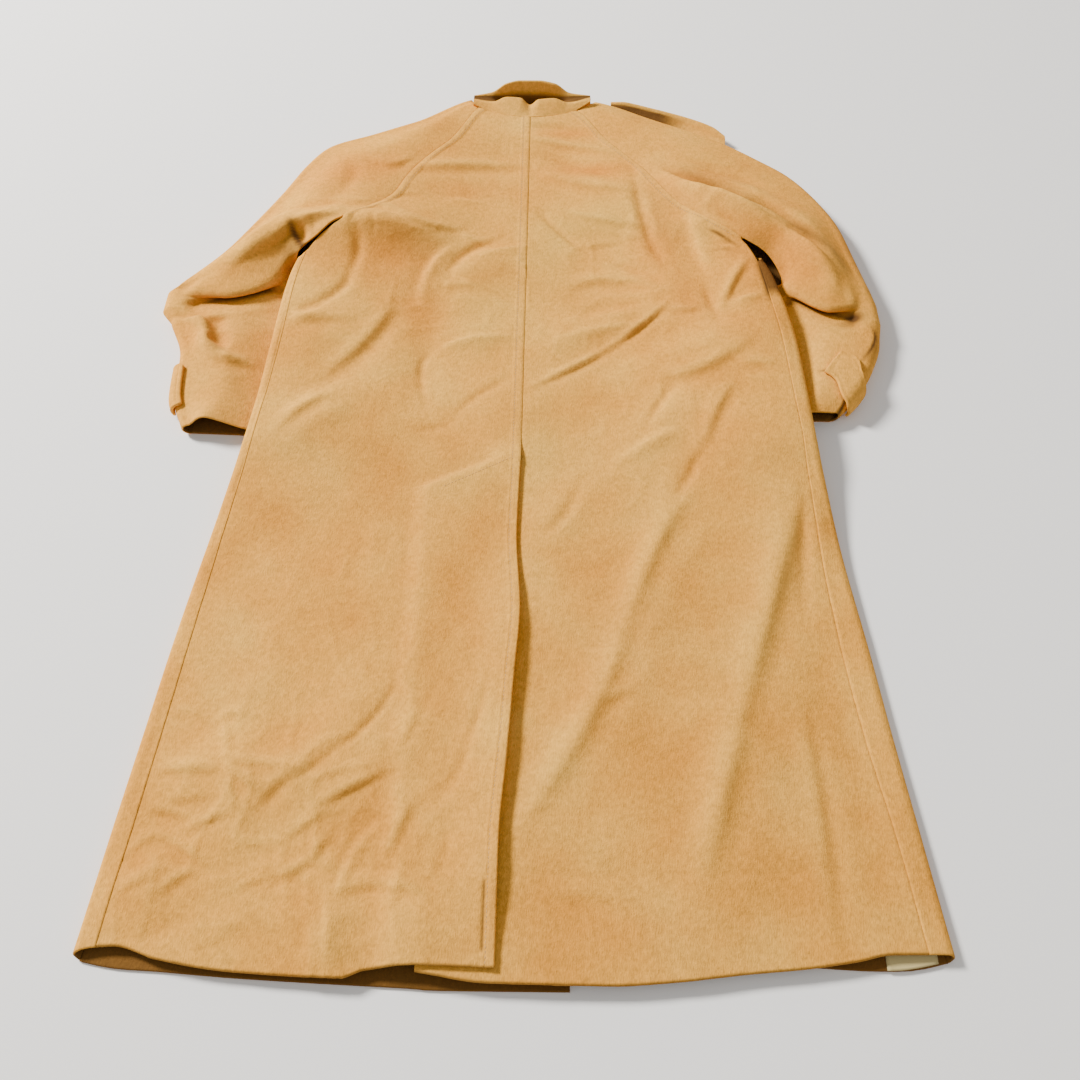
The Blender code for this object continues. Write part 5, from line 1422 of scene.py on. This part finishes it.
def collar_piece(name, sections):
    """A stretch of the collar, from its neck seam over the roll to its outer edge."""
    first, last = sections["across"][0], sections["across"][-1]
    ends = np.array([0, 0.03, 0.08, 0.14])
    middle = steps([first + 0.25, last - 0.25], COLLAR_STEP)
    places = np.concatenate([first + ends, middle, last - ends[::-1]])
    shares = np.concatenate([[0, 0.02, 0.05], np.linspace(0.1, 2.9, 30), [2.93, 2.96, 2.985, 3.0]])
    rows = []
    for place in places:
        share = {"share": np.arange(4.0)}
        for part in ("up", "high"):
            share[part] = np.array([along(sections, mark + "_" + part, place) for mark in COLLAR_MARKS])
        x = np.full(shares.shape, place)
        rows.append(np.stack([x, along(share, "up", shares), along(share, "high", shares)], -1))
    grid = np.array(rows)
    x = grid[..., 0]
    # fold paints the collar's valley deeper and the rest paler, and dark adds painted shade in the valley
    # and on the end by the shoulder
    fold = np.clip(1.2 - 2.2 * ease(1 - np.abs(shares - 2.0) / 0.9), -1.3, 0.2) + 0 * x
    grid[..., 2] += 0.05 * ripple(x, 4 * shares[None, :], 1.8, 5) * (shares * (3 - shares) / 2.25)
    sink = rim(np.linalg.norm(grid[:, -1:] - grid, axis=-1), 0.25)
    if name == "collar":
        dark = COLLAR_DARK * between(shares, 1.3, 0.3, 2.72, 0.24) + 0 * x
    else:
        dark = COLLAR_DARK * ease((2.60 - shares) / 0.4) * ease((24.0 - x) / 5.0)
    grid, fold, sink, dark = (part[::-1] for part in (grid, fold, sink, dark))
    guides = {"sink": sink, "fold": fold, "dark": dark}
    wall(name, grid, outward(grid), COLLAR_CLOTH, camel(), **guides)


def lining_strip(side):
    """The edge of the lining, smooth viscose, which shows under the hem of the back."""
    x = steps(LINING_SPAN[side], 0.4)
    low = along(HEMS[side], "front", x) + LINING_ABOVE_HEM[side]
    high = np.full_like(x, CLOTH + SEAM_GAP + LINING_CLOTH)
    grid = np.array([np.stack([x, low + rise, high], -1) for rise in np.linspace(0, LINING_UP, 24)])
    up = np.broadcast_to((0.0, 0.0, 1.0), grid.shape)
    look = bpy.context.scene.coat_colours
    smooth = shared("smooth viscose lining", plain_material, look.lining, 0.5, 0.1)
    wall("lining_" + side, grid, up, LINING_CLOTH, smooth, slot="lining")


def back_line(side, ups, gap, outer=False):
    """Points on a back panel at a set distance from its inner or outer end."""
    ups = ups[:, None]
    width = back_width(side, ups)
    gaps = width - gap if outer else np.full_like(ups, gap)
    points = back_point(side, ups, gaps / width)
    points[..., 2] += seam_relief(side, ups, gaps, width - gaps)
    return points[:, 0]


def stitch_paths():
    """Lines that the coat's rows of stitches follow, in cm."""
    step = 0.6
    paths = [back_line("left", steps([VENT_TOP, BACK_LENGTH - 0.2], step), WELT["stitch"])]
    paths.append(back_line("left", steps([0.4, VENT_TOP - 1.0], step), VENT_STITCH))
    for side in SIDES:
        ups = steps([UNDERARM[side] + 0.3, BACK_LENGTH - 0.3], step)
        paths.append(back_line(side, ups, WELT["stitch"], True))
    # The slanted row that holds the top of the vent
    ups = np.linspace(VENT_TOP + 0.2, VENT_TOP - VENT_SLANT, 24)[:, None]
    gaps = np.linspace(0.9, VENT_STRIP, 24)[:, None]
    paths.append(back_point("left", ups, gaps / back_width("left", ups))[:, 0])
    return paths


def stitch_tree():
    """A node group that lays stitches along curves."""
    tree = bpy.data.node_groups.new("stitch row", "GeometryNodeTree")
    new = tree.interface.new_socket
    new("Geometry", in_out="INPUT", socket_type="NodeSocketGeometry")
    for size in ("Pitch", "Length", "Thread"):
        new(size, in_out="INPUT", socket_type="NodeSocketFloat")
    new("Material", in_out="INPUT", socket_type="NodeSocketMaterial")
    new("Geometry", in_out="OUTPUT", socket_type="NodeSocketGeometry")
    given = add_node(tree, "NodeGroupInput").outputs
    links = {"Curve": given["Geometry"], "Length": given["Pitch"]}
    points = add_node(tree, "GeometryNodeCurveToPoints", {"mode": "LENGTH"}, links).outputs
    bead = add_node(tree, "GeometryNodeMeshIcoSphere", Radius=0.5, Subdivisions=1)
    links = {"X": given["Thread"], "Y": given["Thread"], "Z": given["Length"]}
    size = add_node(tree, "ShaderNodeCombineXYZ", None, links)
    links = {"Points": points["Points"], "Instance": bead.outputs["Mesh"]}
    links.update({"Rotation": points["Rotation"], "Scale": size.outputs[0]})
    placed = add_node(tree, "GeometryNodeInstanceOnPoints", None, links)
    real = add_node(tree, "GeometryNodeRealizeInstances", None, {"Geometry": placed.outputs[0]})
    links = {"Geometry": real.outputs[0], "Material": given["Material"]}
    coated = add_node(tree, "GeometryNodeSetMaterial", None, links)
    add_node(tree, "NodeGroupOutput", links={"Geometry": coated.outputs[0]})
    return tree


def stitches(name, paths):
    """Rows of stitches along paths, as one plain mesh."""
    sizes = bpy.context.scene.coat_sizes
    look = bpy.context.scene.coat_colours
    curve = bpy.data.curves.new(name + "_paths", "CURVE")
    curve.dimensions = "3D"
    for path in paths:
        spline = curve.splines.new("POLY")
        spline.points.add(len(path) - 1)
        for point, place in zip(spline.points, metres(path)):
            point.co = (*place, 1.0)
    holder = put(name + "_paths", curve)
    tree = stitch_tree()
    modifier = holder.modifiers.new("stitches", "NODES")
    modifier.node_group = tree
    # Sewing thread is matt, a little glossy along its fibres
    thread = shared("matt sewing thread", plain_material, look.thread, 0.8, 0.2)
    values = {"Pitch": sizes.stitch_pitch, "Length": sizes.stitch_length}
    values.update({"Thread": sizes.thread, "Material": thread})
    for item in tree.interface.items_tree:
        if item.in_out == "INPUT" and item.name in values:
            modifier[item.identifier] = values[item.name]
    bpy.context.view_layer.update()
    evaluated = holder.evaluated_get(bpy.context.evaluated_depsgraph_get())
    mesh = bpy.data.meshes.new_from_object(evaluated)
    bpy.data.objects.remove(holder)
    mesh.name = name
    mesh.shade_smooth()
    if not mesh.polygons:
        raise RuntimeError("the stitches came out empty")
    piece = put(name, mesh)
    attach(piece, "root")


def both_sides(*makers):
    """Make the left pieces and then the right ones."""
    for side in SIDES:
        for make in makers:
            make(side)
    return {"FINISHED"}


class COAT_OT_backs(bpy.types.Operator):
    """Build the two back panels"""

    bl_idname = "coat.backs"
    bl_label = "Back Panels"

    def execute(self, context):
        return both_sides(back_panel)


class COAT_OT_fronts(bpy.types.Operator):
    """Build the two front panels"""

    bl_idname = "coat.fronts"
    bl_label = "Front Panels"

    def execute(self, context):
        return both_sides(front_panel)


class COAT_OT_sleeves(bpy.types.Operator):
    """Build the sleeves, each of two panels"""

    bl_idname = "coat.sleeves"
    bl_label = "Sleeves"

    def execute(self, context):
        return both_sides(sleeve_back, sleeve_front)


class COAT_OT_collar(bpy.types.Operator):
    """Build the collar behind the neck and its end"""

    bl_idname = "coat.collar"
    bl_label = "Collar"

    def execute(self, context):
        collar_piece("collar", COLLAR)
        collar_piece("collar_end_right", COLLAR_END)
        return {"FINISHED"}


class COAT_OT_straps(bpy.types.Operator):
    """Build the tabs round the cuffs"""

    bl_idname = "coat.straps"
    bl_label = "Cuff Tabs"

    def execute(self, context):
        return both_sides(cuff_strap)


class COAT_OT_lining(bpy.types.Operator):
    """Build the lining that shows under the hem"""

    bl_idname = "coat.lining"
    bl_label = "Lining"

    def execute(self, context):
        return both_sides(lining_strip)


class COAT_OT_stitches(bpy.types.Operator):
    """Sew the rows of stitches"""

    bl_idname = "coat.stitches"
    bl_label = "Stitches"

    def execute(self, context):
        stitches("stitching", stitch_paths())
        return {"FINISHED"}


def soft_light(name, place, size, power, colour):
    """A large soft lamp that faces the middle of the coat."""
    lamp = bpy.data.lights.new(name, "AREA")
    lamp.shape, lamp.size, lamp.energy, lamp.color = "DISK", size, power, colour
    holder = put(name, lamp)
    holder.location = place
    holder.rotation_euler = (-Vector(place)).to_track_quat("-Z", "Y").to_euler()
    return holder


class COAT_OT_stage(bpy.types.Operator):
    """Lay the floor and set the lights and the camera"""

    bl_idname = "coat.stage"
    bl_label = "Stage"

    def execute(self, context):
        look = context.scene.coat_colours
        corners = [(FLOOR_HALF * x, FLOOR_HALF * y, 0) for x, y in ((-1, -1), (1, -1), (1, 1), (-1, 1))]
        floor_mesh = bpy.data.meshes.new("floor")
        floor_mesh.from_pydata(corners, [], [(0, 1, 2, 3)])
        # A matt pale studio floor
        floor_mesh.materials.append(plain_material("matt pale floor", look.floor, 0.9))
        floor = put("floor", floor_mesh)
        soft_light("key", **KEY)
        soft_light("fill", **FILL)
        world = bpy.data.worlds.new("studio") if context.scene.world is None else context.scene.world
        context.scene.world = world
        world.use_nodes = True
        sky = world.node_tree.nodes["Background"].inputs
        sky["Color"].default_value = SKY_COLOUR
        sky["Strength"].default_value = SKY_STRENGTH
        camera = bpy.data.cameras.new("camera")
        camera.lens, camera.sensor_width = CAMERA_LENS, CAMERA_SENSOR
        holder = put("camera", camera)
        holder.location = CAMERA_PLACE
        holder.rotation_euler = (math.radians(90 - CAMERA_TILT), 0.0, math.radians(CAMERA_TURN))
        context.scene.camera = holder
        return {"FINISHED"}


OPERATORS = (
    COAT_OT_backs,
    COAT_OT_fronts,
    COAT_OT_sleeves,
    COAT_OT_collar,
    COAT_OT_straps,
    COAT_OT_lining,
    COAT_OT_stitches,
    COAT_OT_stage,
)


class COAT_PT_build(bpy.types.Panel):
    """Buttons and sizes for the overcoat"""

    bl_idname = "COAT_PT_build"
    bl_label = "Overcoat"
    bl_space_type = "VIEW_3D"
    bl_region_type = "UI"
    bl_category = "Overcoat"

    def draw(self, context):
        for group in (context.scene.coat_sizes, context.scene.coat_colours):
            for name in type(group).__annotations__:
                self.layout.prop(group, name)
        for operator in OPERATORS:
            self.layout.operator(operator.bl_idname)


CLASSES = (CoatSizes, CoatColours, *OPERATORS, COAT_PT_build)


def register():
    for used in CLASSES:
        bpy.utils.register_class(used)
    bpy.types.Scene.coat_sizes = bpy.props.PointerProperty(type=CoatSizes)
    bpy.types.Scene.coat_colours = bpy.props.PointerProperty(type=CoatColours)


def unregister():
    del bpy.types.Scene.coat_colours
    del bpy.types.Scene.coat_sizes
    for used in reversed(CLASSES):
        bpy.utils.unregister_class(used)


def main():
    register()
    bpy.ops.coat.backs()
    bpy.ops.coat.fronts()
    bpy.ops.coat.sleeves()
    bpy.ops.coat.collar()
    bpy.ops.coat.straps()
    bpy.ops.coat.lining()
    bpy.ops.coat.stitches()
    bpy.ops.coat.stage()
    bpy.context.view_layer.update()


if __name__ == "__main__":
    main()
